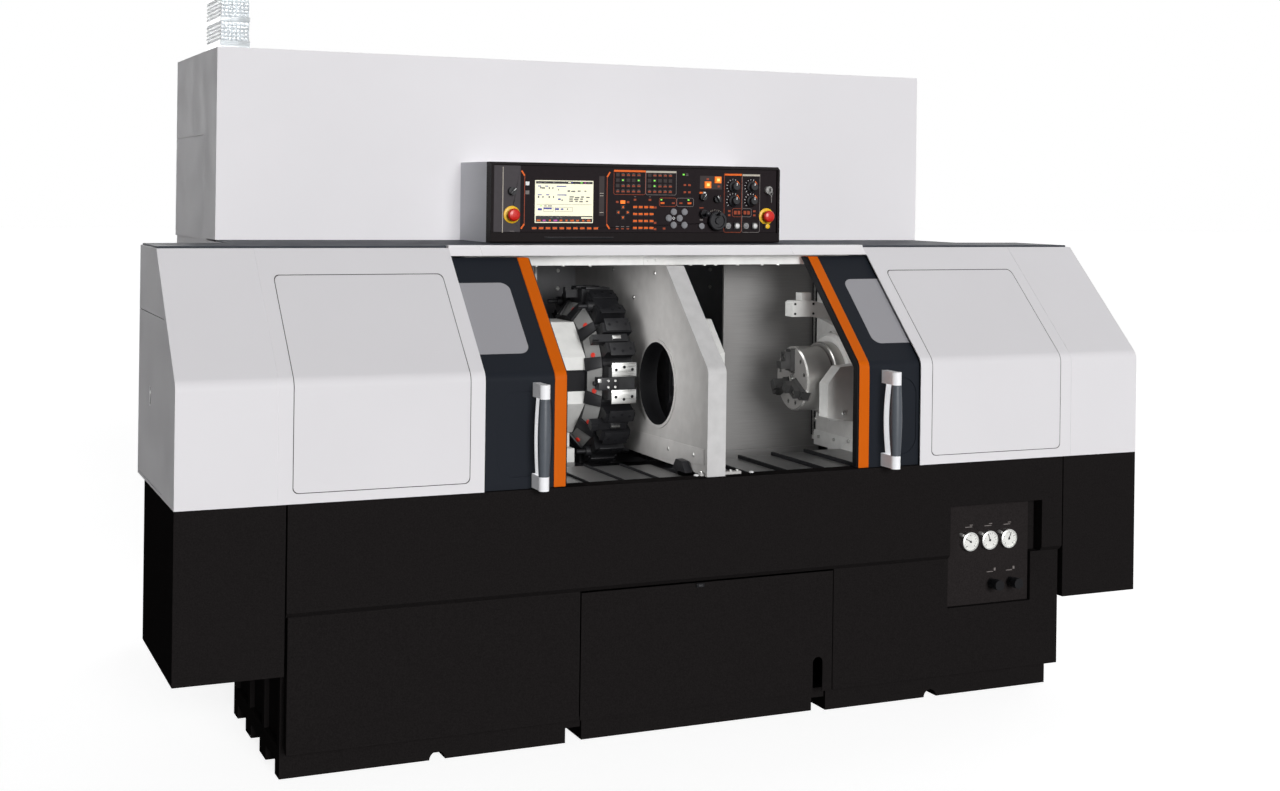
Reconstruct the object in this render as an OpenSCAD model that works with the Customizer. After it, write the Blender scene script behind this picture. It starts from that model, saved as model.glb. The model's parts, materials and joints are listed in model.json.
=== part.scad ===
// Two-spindle turning lathe: front plane of the covers at datum Y, floor at Z = 0,
// width along X, operator side towards -Y. All sizes are millimetres.

/* [Enclosure] */
// Overall width over the end covers
machine_w = 3140; // [3000:10:3400]
// Height of the sill, where the black base meets the white covers
waist_z = 760; // [740:1:780]
// Height of the fold between the upright front and the slope
bend_z = 1087; // [1060:1:1110]
// Height of the roof edge
roof_z = 1432; // [1415:1:1460]
// Setback of the roof edge behind the front plane
roof_front = 357; // [340:1:370]
// Depth of the end covers
canopy_d = 670; // [660:1:700]
// Half of the width between the two end covers
canopy_in = 720; // [700:1:735]
// Thickness of the cover sheet
sheet = 4; // [2:0.5:5]
// Outer radius of the fold
fold_r = 48; // [46:1:60]
// Border between an end cover's inner edge and its removable front cover
cover_in = 42; // [30:1:80]
// Border between the machine's end and a removable front cover
cover_out = 310; // [280:1:370]
// Lower edge of a removable front cover
cover_bottom = 787; // [780:1:810]
// Upper edge of a removable front cover
cover_top = 1360; // [1300:1:1380]
// Visible seam round a removable cover
cover_gap = 2; // [1:0.5:4]
// Front seam of the service door in the left end
service_front = 207; // [180:1:260]
// Upper seam of the service door
service_top = 1246; // [1200:1:1270]

/* [Base] */
// Lower edge of the end skirts
skirt_bottom = 300; // [250:5:350]
// Depth of the end skirts
skirt_d = 530; // [480:5:580]
// Half width of the front band between the end skirts
band_half = 1272; // [1265:1:1290]
// Lower edge of the front band
band_bottom = 455; // [440:1:470]
// Setback of the lower panels under the band
panel_set = 12; // [8:1:20]
// Thickness of the lower panels
panel_t = 20; // [10:1:30]
// Height of the plinth
plinth_h = 83; // [70:1:95]
// Setback of the plinth
plinth_set = 81; // [60:1:100]
// Drop of the bed's top below the sill
bed_drop = 100; // [95:1:110]
// Height of the bed's rails
rail_h = 35; // [30:1:38]
// Half width between the two pedestals
pedestal_in = 435; // [425:1:440]
// Half width of the coolant tank
tank_half = 385; // [360:1:400]
// Depth of the coolant tank behind its plinth
tank_d = 620; // [500:10:640]
// Distance of the gauge recess from the right end of the front band
recess_x = 116; // [100:1:150]
// Width of the gauge recess
recess_w = 318; // [280:1:340]
// Top of the gauge recess
recess_top = 622; // [600:1:640]
// Height of the gauge recess
recess_h = 325; // [300:1:350]
// Diameter of a pressure gauge
gauge_d = 60; // [50:1:66]
// Distance between two pressure gauges
gauge_pitch = 74; // [70:1:80]

/* [Doors] */
// Offset of the door opening's middle from the machine's middle
mid_x = 15; // [0:1:20]
// Distance from the opening's middle to the free edge of an open door
door_open = 486; // [470:1:500]
// Distance of the door's outer skin behind the covers' outer skin
door_gap = 12; // [11:0.5:14]
// Thickness of a door
door_t = 30; // [24:1:32]
// Upper edge of a door
door_top = 1403; // [1396:1:1405]
// Drop of the rail over the doors below the roof edge
beam_drop = 56; // [52:1:60]
// Height of the rail over the doors
beam_h = 35; // [30:1:36]
// Length a closed door stays behind its end cover
door_lap = 30; // [20:1:60]
// Width of the coloured strip on a door's free edge
edge_w = 37; // [25:1:45]
// Distance of a window from the door's free edge
window_in = 90; // [80:1:100]
// Width of a window
window_w = 185; // [150:1:200]
// Lower edge of a window, along the slope
window_low = 88; // [80:1:100]
// Upper edge of a window, along the slope
window_high = 365; // [340:1:375]
// Distance of a handle's middle from the door's free edge
handle_in = 93; // [80:1:110]
// Reach of a handle in front of the covers
handle_reach = 75; // [65:1:90]
// Length of a handle
handle_l = 298; // [260:1:310]

/* [Spindles] */
// Distance of the spindle axis behind the front plane
axis_y = 390; // [385:1:395]
// Height of the spindle axis
axis_z = 1000; // [990:1:1010]
// Diameter of a chuck
chuck_d = 210; // [200:1:216]
// Length of a chuck
chuck_l = 95; // [80:1:100]
// Distance of a chuck's face from the opening's middle
face_u = 460; // [455:1:470]
// Diameter of the spindle nose behind the chuck
nose_d = 236; // [225:1:245]
// Length of the spindle nose
nose_l = 38; // [30:1:40]
// Diameter of the spindle shaft
shaft_d = 150; // [120:1:170]
// Diameter of the round front of a headstock
headstock_d = 290; // [280:1:300]
// Length of a headstock
headstock_l = 430; // [400:10:500]
// Half width of a headstock
headstock_half = 132; // [125:1:140]
// Height of a headstock above the spindle axis
headstock_top = 150; // [146:1:160]
// Distance of an end wall behind a headstock's front
wall_in = 72.5; // [65:0.5:80]
// Width of a chuck jaw
jaw_w = 34; // [28:1:38]
// Radial and side clearance of moving pieces
clear = 0.3; // [0.2:0.05:0.5]

/* [Turrets] */
// Distance of a turret axis behind the front plane
turret_y = 716; // [712:1:722]
// Stations on a turret
stations = 12; // [10:1:12]
// Distance of the drum's flats from the turret axis
drum_flat = 238; // [225:1:242]
// Distance of the tool blocks' faces from the turret axis
block_top = 286; // [275:1:288]
// Length of the drum's cylindrical part
drum_l = 104; // [90:1:108]
// Length of the drum's bevel
bevel_l = 34; // [25:1:36]
// Half width across the flats of the turret housing
housing_flat = 180; // [160:1:184]
// Length of the turret housing
housing_l = 90; // [70:1:95]
// Distance of a guard's edge from the turret housing
guard_in = 50.5; // [45:0.5:60]
// Width of a tool block
block_w = 104; // [95:1:108]
// Width of a tool slot
slot_w = 36; // [30:1:40]
// Depth of a tool slot
slot_h = 30; // [27:1:34]
// Distance of the chambers' back wall behind the turret axis
back_room = 384; // [380:1:400]
// Distance of the left drum from the opening's middle
left_drum_u = 77; // [70:1:80]
// Distance of the right drum from the opening's middle
right_drum_u = 57; // [55:1:62]
// Thickness of the divider between the two chambers
divider_t = 61; // [50:1:66]
// Diameter of the transfer hole in the divider
transfer_d = 262; // [240:1:270]

/* [Cabinet and controls] */
// Back of the machine behind the front plane
back_y = 1735; // [1700:1:1800]
// Front of the electrical cabinet behind the front plane
cabinet_y = 940; // [930:1:1000]
// Half width of the electrical cabinet
cabinet_half = 1305; // [1290:1:1330]
// Top of the electrical cabinet
cabinet_top = 2050; // [2000:5:2100]
// Left edge of the control box
box_left = -495; // [-510:1:-480]
// Width of the control box
box_w = 1045; // [1030:1:1060]
// Front of the control box behind the front plane
box_y = 627; // [600:1:650]
// Top of the control box
box_top = 1698; // [1690:1:1720]
// Width of the signal lamp
lamp_w = 94; // [80:1:100]
// Depth of the signal lamp
lamp_d = 260; // [220:1:280]
// Height of the signal lamp above the cabinet
lamp_h = 262; // [200:1:300]

/* [Hidden] */
$fn = 64;
half_w = machine_w / 2;
datum_y = (handle_reach - back_y) / 2;
lean = atan2(roof_z - bend_z, roof_front);
fold_a = 90 - lean;
fold_n = 8;
seat = 0.5;
seam = 2;
roof_t = 6;
cover_u = [canopy_in + cover_in, half_w - cover_out];
service_back = canopy_d - 14;
service_low = waist_z + 8;
service_gap = 0.6;
side_half = cabinet_half - 5;
bed_top = waist_z - bed_drop;
saddle_z = bed_top + rail_h + clear;
saddle_t = 40;
cross_z = saddle_z + saddle_t + clear;
cross_t = 44;
sill_d = 64;
sill_t = 10;
recess_right = band_half - recess_x;
recess_left = recess_right - recess_w;
recess_low = recess_top - recess_h;
panel_back = panel_set + panel_t;
gauge_y = panel_back - 7;
gauge_z = recess_top - 118;
door_z = waist_z + seat;
door_back = door_gap + door_t;
door_w = canopy_in + abs(mid_x) + door_lap - divider_t / 2 - 2;
beam_z = roof_z - beam_drop;
window_r = 30;
window_t = 8;
window_rim = 12;
jaw_angles = [180, 300, 60];
slot_l = 20;
nose_u = face_u + chuck_l + 6 + nose_l;
headstock_u = nose_u + seat;
headstock_end = headstock_u + headstock_l;
bed_half = headstock_end + abs(mid_x) + 5;
wall_u = headstock_u + wall_in;
wall_set = door_back + 10;
guard_y = turret_y - 80;
back_wall_y = turret_y + back_room;
housing_gap = 0.5;
pivot_r = 70;
pivot_l = 60;
station_a = 360 / stations;
box_low = roof_z + roof_t + 1;
box_right = box_left + box_w;
box_rim = 9;
face_y = box_y + box_rim;
panel_y = face_y - 4;
column = box_w / 55;
stem_r = 8;
stop_spots = [for (n = [3.8, 52.4]) [column_x(n), box_low + 90]];
wheel_spot = [column_x(42.2), box_low + 74];
knob_spots = [for (z = [190, 142], n = [45.7, 49.3]) [column_x(n), box_low + z]];
screen_low = [column_x(7.9), box_low + 64];
screen_size = [10.7 * column, 138];

// Shared frames and outlines

// The control panel is laid out on 55 columns from its left end
function column_x(n) = box_left + n * column;

module at_datum() {
    translate([0, datum_y, 0]) children();
}

// One half of the machine: x grows outwards from the machine's middle
module end_frame(side) {
    at_datum() mirror([side < 0 ? 1 : 0, 0, 0]) children();
}

// One work chamber: x grows outwards from the opening's middle
module side_frame(side) {
    at_datum() translate([mid_x, 0, 0]) mirror([side < 0 ? 1 : 0, 0, 0]) children();
}

module along_x(x0, x1) {
    translate([x0, 0, 0]) rotate([90, 0, 90]) linear_extrude(x1 - x0) children();
}

module along_y(y0, y1) {
    translate([0, y1, 0]) rotate([90, 0, 0]) linear_extrude(y1 - y0) children();
}

module block(low, high) {
    translate(low) cube(high - low);
}

// Frame on the sloping front: y runs up the slope from the fold, z stands out of it
module on_slope() {
    translate([0, 0, bend_z]) rotate([lean, 0, 0]) children();
}

// Frame on the spindle axes: z runs along x from u
module on_axis(u) {
    translate([u, axis_y, axis_z]) rotate([0, 90, 0]) children();
}

module on_turret(u) {
    translate([u, turret_y, axis_z]) rotate([0, 90, 0]) children();
}

module round_rect(low, high, r) {
    translate([low.x + r, low.y]) square([high.x - low.x - 2 * r, high.y - low.y]);
    translate([low.x, low.y + r]) square([high.x - low.x, high.y - low.y - 2 * r]);
    for (x = [low.x + r, high.x - r], y = [low.y + r, high.y - r]) translate([x, y]) circle(r);
}

// Setback of the slope at height z, measured o inside the outer skin
function slope_y(z, o) = (o + (z - bend_z) * cos(lean)) / sin(lean);

function fold_arc(o) = [
    for (i = [0 : fold_n])
        [fold_r, bend_z - fold_r * tan(fold_a / 2)]
            + (fold_r - o) * [-cos(fold_a * i / fold_n), sin(fold_a * i / fold_n)]
];

function front_line(o, z0, z1) = concat(
    [[o, z0]],
    o < fold_r ? fold_arc(o) : [[o, bend_z - o * tan(fold_a / 2)]],
    [[slope_y(z1, o), z1]]
);

function reversed(v) = [for (i = [len(v) - 1 : -1 : 0]) v[i]];

module skin(o0, o1, z0, z1) {
    polygon(concat(front_line(o0, z0, z1), reversed(front_line(o1, z0, z1))));
}

// Base

module pedestal() {
    outer = band_half - 3;
    inner = pedestal_in;
    rear_outer = outer - 155;
    notch_u = (outer + inner) / 2 - 30;
    difference() {
        union() {
            block([inner, panel_back, plinth_h], [outer - 14, 720, band_bottom]);
            block([inner, plinth_set, 0], [outer, 720, plinth_h]);
            block([inner, 720, 0], [rear_outer, back_y - 45, 120]);
            for (y = [plinth_set, 280, 480, 690]) block([outer - 15, y, 0], [outer, y + 30, band_bottom]);
        }
        translate([notch_u, plinth_set - 1, 0]) rotate([-90, 0, 0]) cylinder(r = 23, h = 60);
        for (y = [135, 340, 540]) translate([outer - 60, y, -1]) cube([80, 120, 41]);
    }
}

module pedestals() {
    color("#1b1a1b") for (side = [-1, 1]) end_frame(side) pedestal();
}

module bed() {
    chute_y = axis_y + 30;
    rail_y = [turret_y - 140, turret_y + 220];
    color("#3a3d42") at_datum() {
        difference() {
            block([-bed_half, 45, band_bottom], [bed_half, back_wall_y, bed_top]);
            block([-420, chute_y, band_bottom - 1], [420, chute_y + 110, bed_top + 1]);
        }
        for (side = [-1, 1], y = rail_y) {
            translate([mid_x, 0, 0]) mirror([side < 0 ? 1 : 0, 0, 0])
                block([45, y, bed_top], [560, y + 40, bed_top + rail_h]);
        }
    }
}

module front_band() {
    lip = 13;
    color("#1e1c1d") at_datum() difference() {
        along_x(-band_half, band_half) polygon([
            [0, waist_z], [0, band_bottom + lip], [panel_set, band_bottom],
            [45, band_bottom], [45, waist_z - sill_t], [sill_d, waist_z - sill_t], [sill_d, waist_z]
        ]);
        block([recess_left, -1, band_bottom - 1], [recess_right + 36, 44, recess_top]);
    }
}

module lower_panels() {
    color("#1c1b1c") at_datum() difference() {
        for (side = [-1, 1]) mirror([side < 0 ? 1 : 0, 0, 0])
            block([pedestal_in - 15, panel_set, plinth_h], [band_half - 6, panel_back, band_bottom]);
        block([recess_left, 0, recess_low], [recess_right, gauge_y + 3, band_bottom + 1]);
    }
}

module end_skirts() {
    color("#1e1c1d") for (side = [-1, 1]) end_frame(side) {
        along_z_shell([band_half + 4, 0], [half_w, skirt_d], skirt_bottom, waist_z);
    }
}

// Four sheet walls round a rectangle, open above and below
module along_z_shell(low, high, z0, z1) {
    translate([0, 0, z0]) linear_extrude(z1 - z0) difference() {
        translate(low) square(high - low);
        translate(low + [sheet, sheet]) square(high - low - 2 * [sheet, sheet]);
    }
}

module gauge_panel() {
    gap = 1;
    left = recess_left + gap;
    right = recess_right - gap;
    color("#232122") at_datum() difference() {
        union() {
            block([left, gauge_y, recess_low + gap], [right, gauge_y + 3, band_bottom]);
            block([left, gauge_y, band_bottom], [right, 44, recess_top - gap]);
        }
        for (i = [0 : 2])
            translate([gauge_x(i), gauge_y - 1, gauge_z]) rotate([-90, 0, 0]) cylinder(d = 16, h = 30);
    }
}

function gauge_x(i) = recess_left + 82 + gauge_pitch * i;

module gauges() {
    r = gauge_d / 2;
    color("#e6e6e2") at_datum() {
        for (i = [0 : 2]) translate([gauge_x(i), gauge_y, gauge_z]) rotate([90, 0, 0]) {
            rotate_extrude() polygon([[0, 0], [r, 0], [r, 20], [r - 4, 22], [r - 4, 18], [0, 18]]);
            rotate([0, 0, 60 - 40 * i]) translate([-1, -4, 17.5]) cube([2, r - 4, 2]);
        }
        for (i = [1, 2]) translate([gauge_x(i) + 18, gauge_y, gauge_z - 141]) rotate([90, 0, 0]) {
            cylinder(r = 13, h = 10);
            cylinder(r = 10, h = 24);
            translate([0, 0, 24]) cylinder(r = 17, h = 26, $fn = 12);
        }
    }
}

// Covers

// Outline of a removable front cover seen from the front, drawn in by gap on all sides
module cover_prism(gap) {
    r = 16;
    along_y(-1, roof_front + 50)
        round_rect([cover_u[0] + gap, cover_bottom + gap], [cover_u[1] - gap, cover_top - gap], r);
}

module canopy() {
    difference() {
        union() {
            along_x(canopy_in, half_w) polygon(concat(
                front_line(0, waist_z, roof_z), [[canopy_d, roof_z], [canopy_d, roof_z - sheet]],
                reversed(front_line(sheet, waist_z, roof_z - sheet))
            ));
            along_x(half_w - sheet, half_w) polygon(concat(
                front_line(0, waist_z, roof_z), [[canopy_d, roof_z], [canopy_d, waist_z]]
            ));
            block([side_half, canopy_d - sheet, waist_z], [half_w, canopy_d, roof_z]);
        }
        cover_prism(0);
        along_x(cover_u[1] + 40, cover_u[1] + 40 + seam) skin(-1, 1, waist_z - 1, roof_z + 1);
    }
}

module left_canopy() {
    color("#e4e4e8") end_frame(-1) difference() {
        canopy();
        block([half_w - sheet - 1, service_front, service_low], [half_w + 1, service_back, service_top]);
    }
}

module right_canopy() {
    color("#e4e4e8") end_frame(1) canopy();
}

module front_covers() {
    flange = 10;
    backing = 3;
    color("#e0e0e4") for (side = [-1, 1]) end_frame(side) {
        intersection() {
            along_x(cover_u[0], cover_u[1]) skin(0, sheet + backing, waist_z, roof_z);
            cover_prism(cover_gap);
        }
        intersection() {
            along_x(cover_u[0] - flange, cover_u[1] + flange)
                skin(sheet, sheet + backing, waist_z, roof_z - sheet);
            cover_prism(-flange);
        }
    }
}

// Flush door in the left end, hinged along its front seam at the outer face
module service_door() {
    latch_y = (service_front + service_back) / 2 + 10;
    latch_z = axis_z + 12;
    color("#dcdce0") end_frame(-1) difference() {
        block(
            [half_w - sheet, service_front + service_gap, service_low + 2],
            [half_w, service_back - 2, service_top - 2]
        );
        translate([half_w - sheet / 2, latch_y, latch_z]) rotate([90, 0, 90]) linear_extrude(sheet)
            round_rect([-12, -29], [12, 29], 11.5);
    }
}

module roof_plates() {
    gap = 3;
    edges = [-half_w + 4, -canopy_in, canopy_in, half_w - 4];
    color("#3e4248") at_datum() {
        for (i = [0 : 2]) block(
            [edges[i] + gap / 2, i == 1 ? roof_front + 48 : roof_front + 18, roof_z],
            [edges[i + 1] - gap / 2, canopy_d - 2, roof_z + roof_t]
        );
        block([-side_half, canopy_d - 2, roof_z], [side_half, cabinet_y, roof_z + roof_t]);
    }
}

module header() {
    low = door_top + 6;
    rise = 8;
    seams = [-622, 444];
    color("#e6e6e9") at_datum() difference() {
        along_x(-canopy_in, canopy_in) polygon([
            [slope_y(low, 0), low], [roof_front, roof_z], [roof_front + 4, roof_z + rise],
            [roof_front + 30, roof_z + rise], [roof_front + 30, low]
        ]);
        for (x = seams) along_x(x, x + seam) skin(-1, seam, waist_z, roof_z + rise + 1);
    }
}

module top_rail() {
    front = slope_y(door_top, door_back) + 6;
    tie = divider_t / 2;
    color("#c4c4c4") at_datum() {
        block([mid_x - wall_u, front, beam_z], [mid_x + wall_u, front + 40, beam_z + beam_h]);
        block([mid_x - wall_u, front + 6, beam_z + beam_h], [mid_x + wall_u, front + 14, roof_z]);
        for (x = [-34, -6])
            translate([mid_x - tie + x, front - 6, beam_z + 16]) rotate([-90, 0, 0]) cylinder(r = 5, h = 8);
        block([mid_x - tie - 50, front - 3, beam_z], [mid_x - tie + 10, front, beam_z + 30]);
    }
}

// Work chambers

module divider() {
    flange = 14;
    step = 4;
    set = 20;
    top = beam_z;
    color("#b0aeac") at_datum() difference() {
        union() {
            along_x(mid_x - divider_t / 2, mid_x + divider_t / 2) skin(set, set + flange, waist_z, top);
            along_x(mid_x - divider_t / 2 + step, mid_x + divider_t / 2 - step) polygon(concat(
                front_line(set + flange, waist_z, top), [[back_wall_y, top], [back_wall_y, waist_z]]
            ));
            on_axis(mid_x - divider_t / 2) cylinder(d = transfer_d + 18, h = divider_t);
            block([mid_x - 40, door_back + 2, waist_z], [mid_x + 96, sill_d - 1, waist_z + 8]);
        }
        on_axis(mid_x - divider_t) cylinder(d = transfer_d, h = 2 * divider_t);
    }
}

module chamber_walls() {
    low = waist_z;
    slot = 11;
    color("#c2c2c0") {
        at_datum() translate([mid_x, 0, 0])
            block([-wall_u, back_wall_y, bed_top], [wall_u, back_wall_y + sheet, beam_z + 40]);
        for (side = [-1, 1]) side_frame(side) difference() {
            along_x(wall_u, wall_u + sheet) polygon(concat(
                front_line(wall_set, low, beam_z), [[back_wall_y, beam_z], [back_wall_y, low]]
            ));
            on_axis(wall_u - 1) cylinder(d = headstock_d + 2 * seat, h = sheet + 2);
            block([wall_u - 1, guard_y - slot, low - 1], [wall_u + sheet + 1, guard_y + slot, beam_z - 3]);
        }
    }
}

// Overlapping steel covers over the front of the bed, rising outwards
module way_covers() {
    plate_w = 122;
    lap = 12;
    rise = 4;
    start = divider_t / 2 + 12;
    low = waist_z - 22;
    back = axis_y + 8;
    color("#6d6d6c") for (side = [-1, 1]) side_frame(side) {
        for (i = [0 : 4]) block(
            [start + i * plate_w - (i == 0 ? 0 : lap), sill_d + 1, low + i * rise],
            [start + (i + 1) * plate_w, back, low + i * rise + rise]
        );
        block([start, sill_d + 1, bed_top], [start + plate_w, sill_d + 10, low]);
        block([start, back - 20, bed_top], [start + plate_w, back - 10, low]);
    }
}

module rear_enclosure() {
    color("#d6d6d9") at_datum() difference() {
        block([-side_half, back_wall_y + 10, 120], [side_half, back_y - 12, roof_z]);
        for (i = [0 : 9]) block(
            [side_half - 420, back_y - 20, 380 + i * 26], [side_half - 120, back_y - 11, 392 + i * 26]
        );
    }
}

module side_covers() {
    color("#d6d6d9") for (side = [-1, 1]) end_frame(side)
        block([side_half - sheet, canopy_d, band_bottom], [side_half, back_wall_y + 10, roof_z]);
}

module electrical_cabinet() {
    split_z = cabinet_top - 274;
    upper_y = cabinet_y + 436;
    lower_y = cabinet_y + 220;
    groove = cabinet_half - 2;
    low = roof_z + roof_t;
    door_n = 3;
    leaf_w = (2 * cabinet_half - 60) / door_n;
    color("#e3e3e6") at_datum() {
        difference() {
            union() {
                block([-cabinet_half, cabinet_y, low], [cabinet_half, back_y - 12, cabinet_top]);
                block([-cabinet_half, back_wall_y + 10, roof_z], [cabinet_half, back_y - 12, low]);
            }
            for (side = [-1, 1]) mirror([side < 0 ? 1 : 0, 0, 0]) {
                block([groove, upper_y, split_z], [cabinet_half + 1, upper_y + seam, cabinet_top + 1]);
                block([groove, lower_y, low - 1], [cabinet_half + 1, lower_y + seam, split_z]);
                block([groove, lower_y, split_z - seam], [cabinet_half + 1, back_y, split_z]);
            }
        }
        for (i = [0 : door_n - 1]) translate([-cabinet_half + 30 + i * leaf_w, 0, 0]) {
            block([4, back_y - 12, low + 30], [leaf_w - 4, back_y - 4, cabinet_top - 30]);
            block([leaf_w - 60, back_y - 4, low + 270], [leaf_w - 36, back_y, low + 400]);
        }
    }
}

// Clear stacked lamp at the cabinet's front left corner
module signal_lamp() {
    x0 = -cabinet_half + 10;
    plinth = 22;
    cap = 16;
    band = 14;
    tiers = 3;
    tier_h = (lamp_h - plinth - cap) / tiers;
    color("#cfd3d6") at_datum() translate([x0, cabinet_y + 10, cabinet_top]) {
        cube([lamp_w, lamp_d, plinth]);
        translate([3, 3, 0]) cube([lamp_w - 6, lamp_d - 6, lamp_h]);
        for (i = [1 : tiers]) translate([0, 0, plinth + i * tier_h - band]) cube([lamp_w, lamp_d, band]);
        translate([0, 0, lamp_h - cap]) cube([lamp_w, lamp_d, cap]);
    }
}

// Controls

module control_box() {
    lip = 32;
    color("#2a2829") at_datum() difference() {
        along_x(box_left, box_right) polygon([
            [box_y, box_low + 4], [box_y + 4, box_low], [cabinet_y, box_low], [cabinet_y, box_top],
            [box_y + 14, box_top], [box_y, box_top - 10]
        ]);
        block(
            [box_left + box_rim, box_y - 1, box_low + lip],
            [box_right - box_rim, face_y, box_top - box_rim]
        );
        stem_holes(face_y + 14);
    }
}

// Holes for the stems of everything that turns or is pressed
module stem_holes(end_y) {
    for (p = concat(stop_spots, knob_spots, [wheel_spot])) translate([p.x, end_y, p.y]) rotate([90, 0, 0])
        cylinder(r = stem_r + clear, h = end_y - face_y + 5);
}

module control_panel() {
    edge = box_rim + 2;
    color("#282424") at_datum() difference() {
        block([box_left + edge, panel_y, box_low + 34], [box_right - edge, face_y, box_top - edge]);
        stem_holes(face_y + 1);
    }
}

// A key in column n, z above the box's underside
module key(n, z, w, h, t) {
    translate([column_x(n) - w / 2, panel_y - t, box_low + z - h / 2]) cube([w, t, h]);
}

module round_key(n, z, r, t) {
    translate([column_x(n), panel_y, box_low + z]) rotate([90, 0, 0]) cylinder(r = r, h = t);
}

module screen() {
    color("#ebe8cd") at_datum() block(
        [screen_low.x, panel_y - 3, screen_low.y],
        [screen_low.x + screen_size.x, panel_y, screen_low.y + screen_size.y]
    );
}

module control_keys() {
    color("#c9691c") at_datum() {
        for (i = [0 : 9]) key(7.8 + i * 1.26, 47, 17, 11, 3);
        for (g = [0, 1], i = [0 : 4], j = [0 : 3]) key(23.15 + g * 6.05 + i, 170 + j * 18, 13, 11, 3);
        for (i = [0 : 3], j = [0 : 3]) key(26.5 + i * 1.05, 48 + j * 23, 15, 12, 3);
        for (d = [[0, 1], [1, 0], [0, -1], [-1, 0]]) key(24.2 + d.x * 0.9, 100 + d.y * 17, 13, 13, 3);
        for (n = [33.95, 36.05], z = [103, 59]) round_key(n, z, 11, 4);
        for (n = [33, 35.1]) round_key(n, 82, 11, 4);
        for (p = [[39.5, 154], [42.3, 148]]) round_key(p.x, p.y, 12, 16);
        round_key(39.6, 98, 13, 20);
        round_key(39.4, 56, 10, 6);
        for (p = [[42.5, 212], [40.5, 195]]) key(p.x, p.y, 22, 22, 8);
        for (i = [0 : 3]) key(44.6 + i * 1.79, 57, 22, 22, 7);
        round_key(52.6, 180, 13, 14);
        key(52.5, 56, 22, 18, 7);
        round_key(3.7, 166, 13, 16);
    }
}

// Mushroom head on a stem through the panel
module stop_button(spot) {
    color("#c8201c") at_datum() translate([spot.x, face_y, spot.y]) rotate([90, 0, 0])
        rotate_extrude() polygon([
            [0, 0], [stem_r, 0], [stem_r, 16], [14, 18], [20, 22], [20, 28], [16, 33], [8, 35], [0, 35]
        ]);
}

module left_stop_button() {
    stop_button(stop_spots[0]);
}

module right_stop_button() {
    stop_button(stop_spots[1]);
}

module handwheel() {
    r = 32;
    color("#1d1d1f") at_datum() translate([wheel_spot.x, face_y, wheel_spot.y]) rotate([90, 0, 0]) {
        rotate_extrude() polygon([
            [0, 0], [stem_r, 0], [stem_r, 14], [r - 3, 14], [r, 17], [r, 26], [r - 3, 29], [r - 8, 29],
            [r - 10, 24], [12, 24], [10, 30], [0, 30]
        ]);
        translate([0, r - 9, 22]) cylinder(r = 6, h = 30);
    }
}

module override_knob(spot) {
    color("#232325") at_datum() translate([spot.x, face_y, spot.y]) rotate([90, 0, 0]) {
        rotate_extrude() polygon([
            [0, 0], [stem_r, 0], [stem_r, 8], [19, 8], [19, 14], [14, 17], [13, 30], [11, 32], [0, 32]
        ]);
        translate([-1.5, 4, 31]) cube([3, 9, 2]);
    }
}

module feed_knob() {
    override_knob(knob_spots[0]);
}

module rapid_knob() {
    override_knob(knob_spots[1]);
}

module left_spindle_knob() {
    override_knob(knob_spots[2]);
}

module right_spindle_knob() {
    override_knob(knob_spots[3]);
}

// Doors

// Folded skin with a window opening and a shallow dish behind the handle
module door_panel(side) {
    x0 = door_open + edge_w;
    x1 = door_open + door_w;
    w0 = door_open + window_in;
    grip_u = door_open + handle_in;
    dish = 3;
    color("#22252a") side_frame(side) difference() {
        along_x(x0, x1) skin(door_gap, door_back, door_z, door_top);
        along_y(door_gap - 1, door_gap + dish)
            round_rect([grip_u - 50, waist_z + 35], [grip_u + 117, waist_z + 277], 55);
        on_slope() translate([0, 0, -door_gap - window_t]) linear_extrude(window_t + 1)
            round_rect([w0, window_low], [w0 + window_w, window_high], window_r);
        on_slope() translate([0, 0, -door_back - 1]) linear_extrude(door_t + 2) round_rect(
            [w0 + window_rim, window_low + window_rim],
            [w0 + window_w - window_rim, window_high - window_rim], window_r - window_rim
        );
    }
}

module door_edge(side) {
    proud = 2;
    color("#d5701a") side_frame(side)
        along_x(door_open, door_open + edge_w) skin(door_gap - proud, door_back, door_z, door_top);
}

module window_pane(side) {
    w0 = door_open + window_in;
    color("#96959a") side_frame(side) on_slope() translate([0, 0, -door_gap - window_t])
        linear_extrude(window_t) round_rect(
            [w0 + clear, window_low + clear], [w0 + window_w - clear, window_high - clear], window_r
        );
}

// Bulged grip between two end brackets, with a bowed strap behind it
module handle(side) {
    u = door_open + handle_in;
    z0 = waist_z + 4;
    cap = 40;
    cap_r = 15;
    grip_y = cap_r + 4 - handle_reach;
    swell = 4;
    grip_l = handle_l - 2 * cap;
    strap_t = 5;
    strap_y = -strap_t - 14;
    bow = 16;
    function strap(y) = [
        for (i = [0 : 12]) [y + bow * sin(180 * i / 12), z0 + cap / 2 + (handle_l - cap) * i / 12]
    ];
    color("#c9cacc") side_frame(side) {
        along_x(u - 8, u + 8) polygon(concat(strap(strap_y), reversed(strap(strap_y + strap_t))));
        for (z = [z0, z0 + handle_l - cap]) {
            translate([u, grip_y, z]) cylinder(r = cap_r, h = cap);
            block([u - 11, grip_y, z], [u + 11, door_gap, z + cap]);
        }
        translate([u, grip_y, z0 + cap]) rotate_extrude() polygon(concat(
            [[0, 0]],
            [for (i = [0 : 10]) [cap_r + swell * sin(180 * i / 10), grip_l * i / 10]],
            [[0, grip_l]]
        ));
    }
}

module left_door_panel() {
    door_panel(-1);
}

module left_door_edge() {
    door_edge(-1);
}

module left_window() {
    window_pane(-1);
}

module left_handle() {
    handle(-1);
}

module right_door_panel() {
    door_panel(1);
}

module right_door_edge() {
    door_edge(1);
}

module right_window() {
    window_pane(1);
}

module right_handle() {
    handle(1);
}

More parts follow.
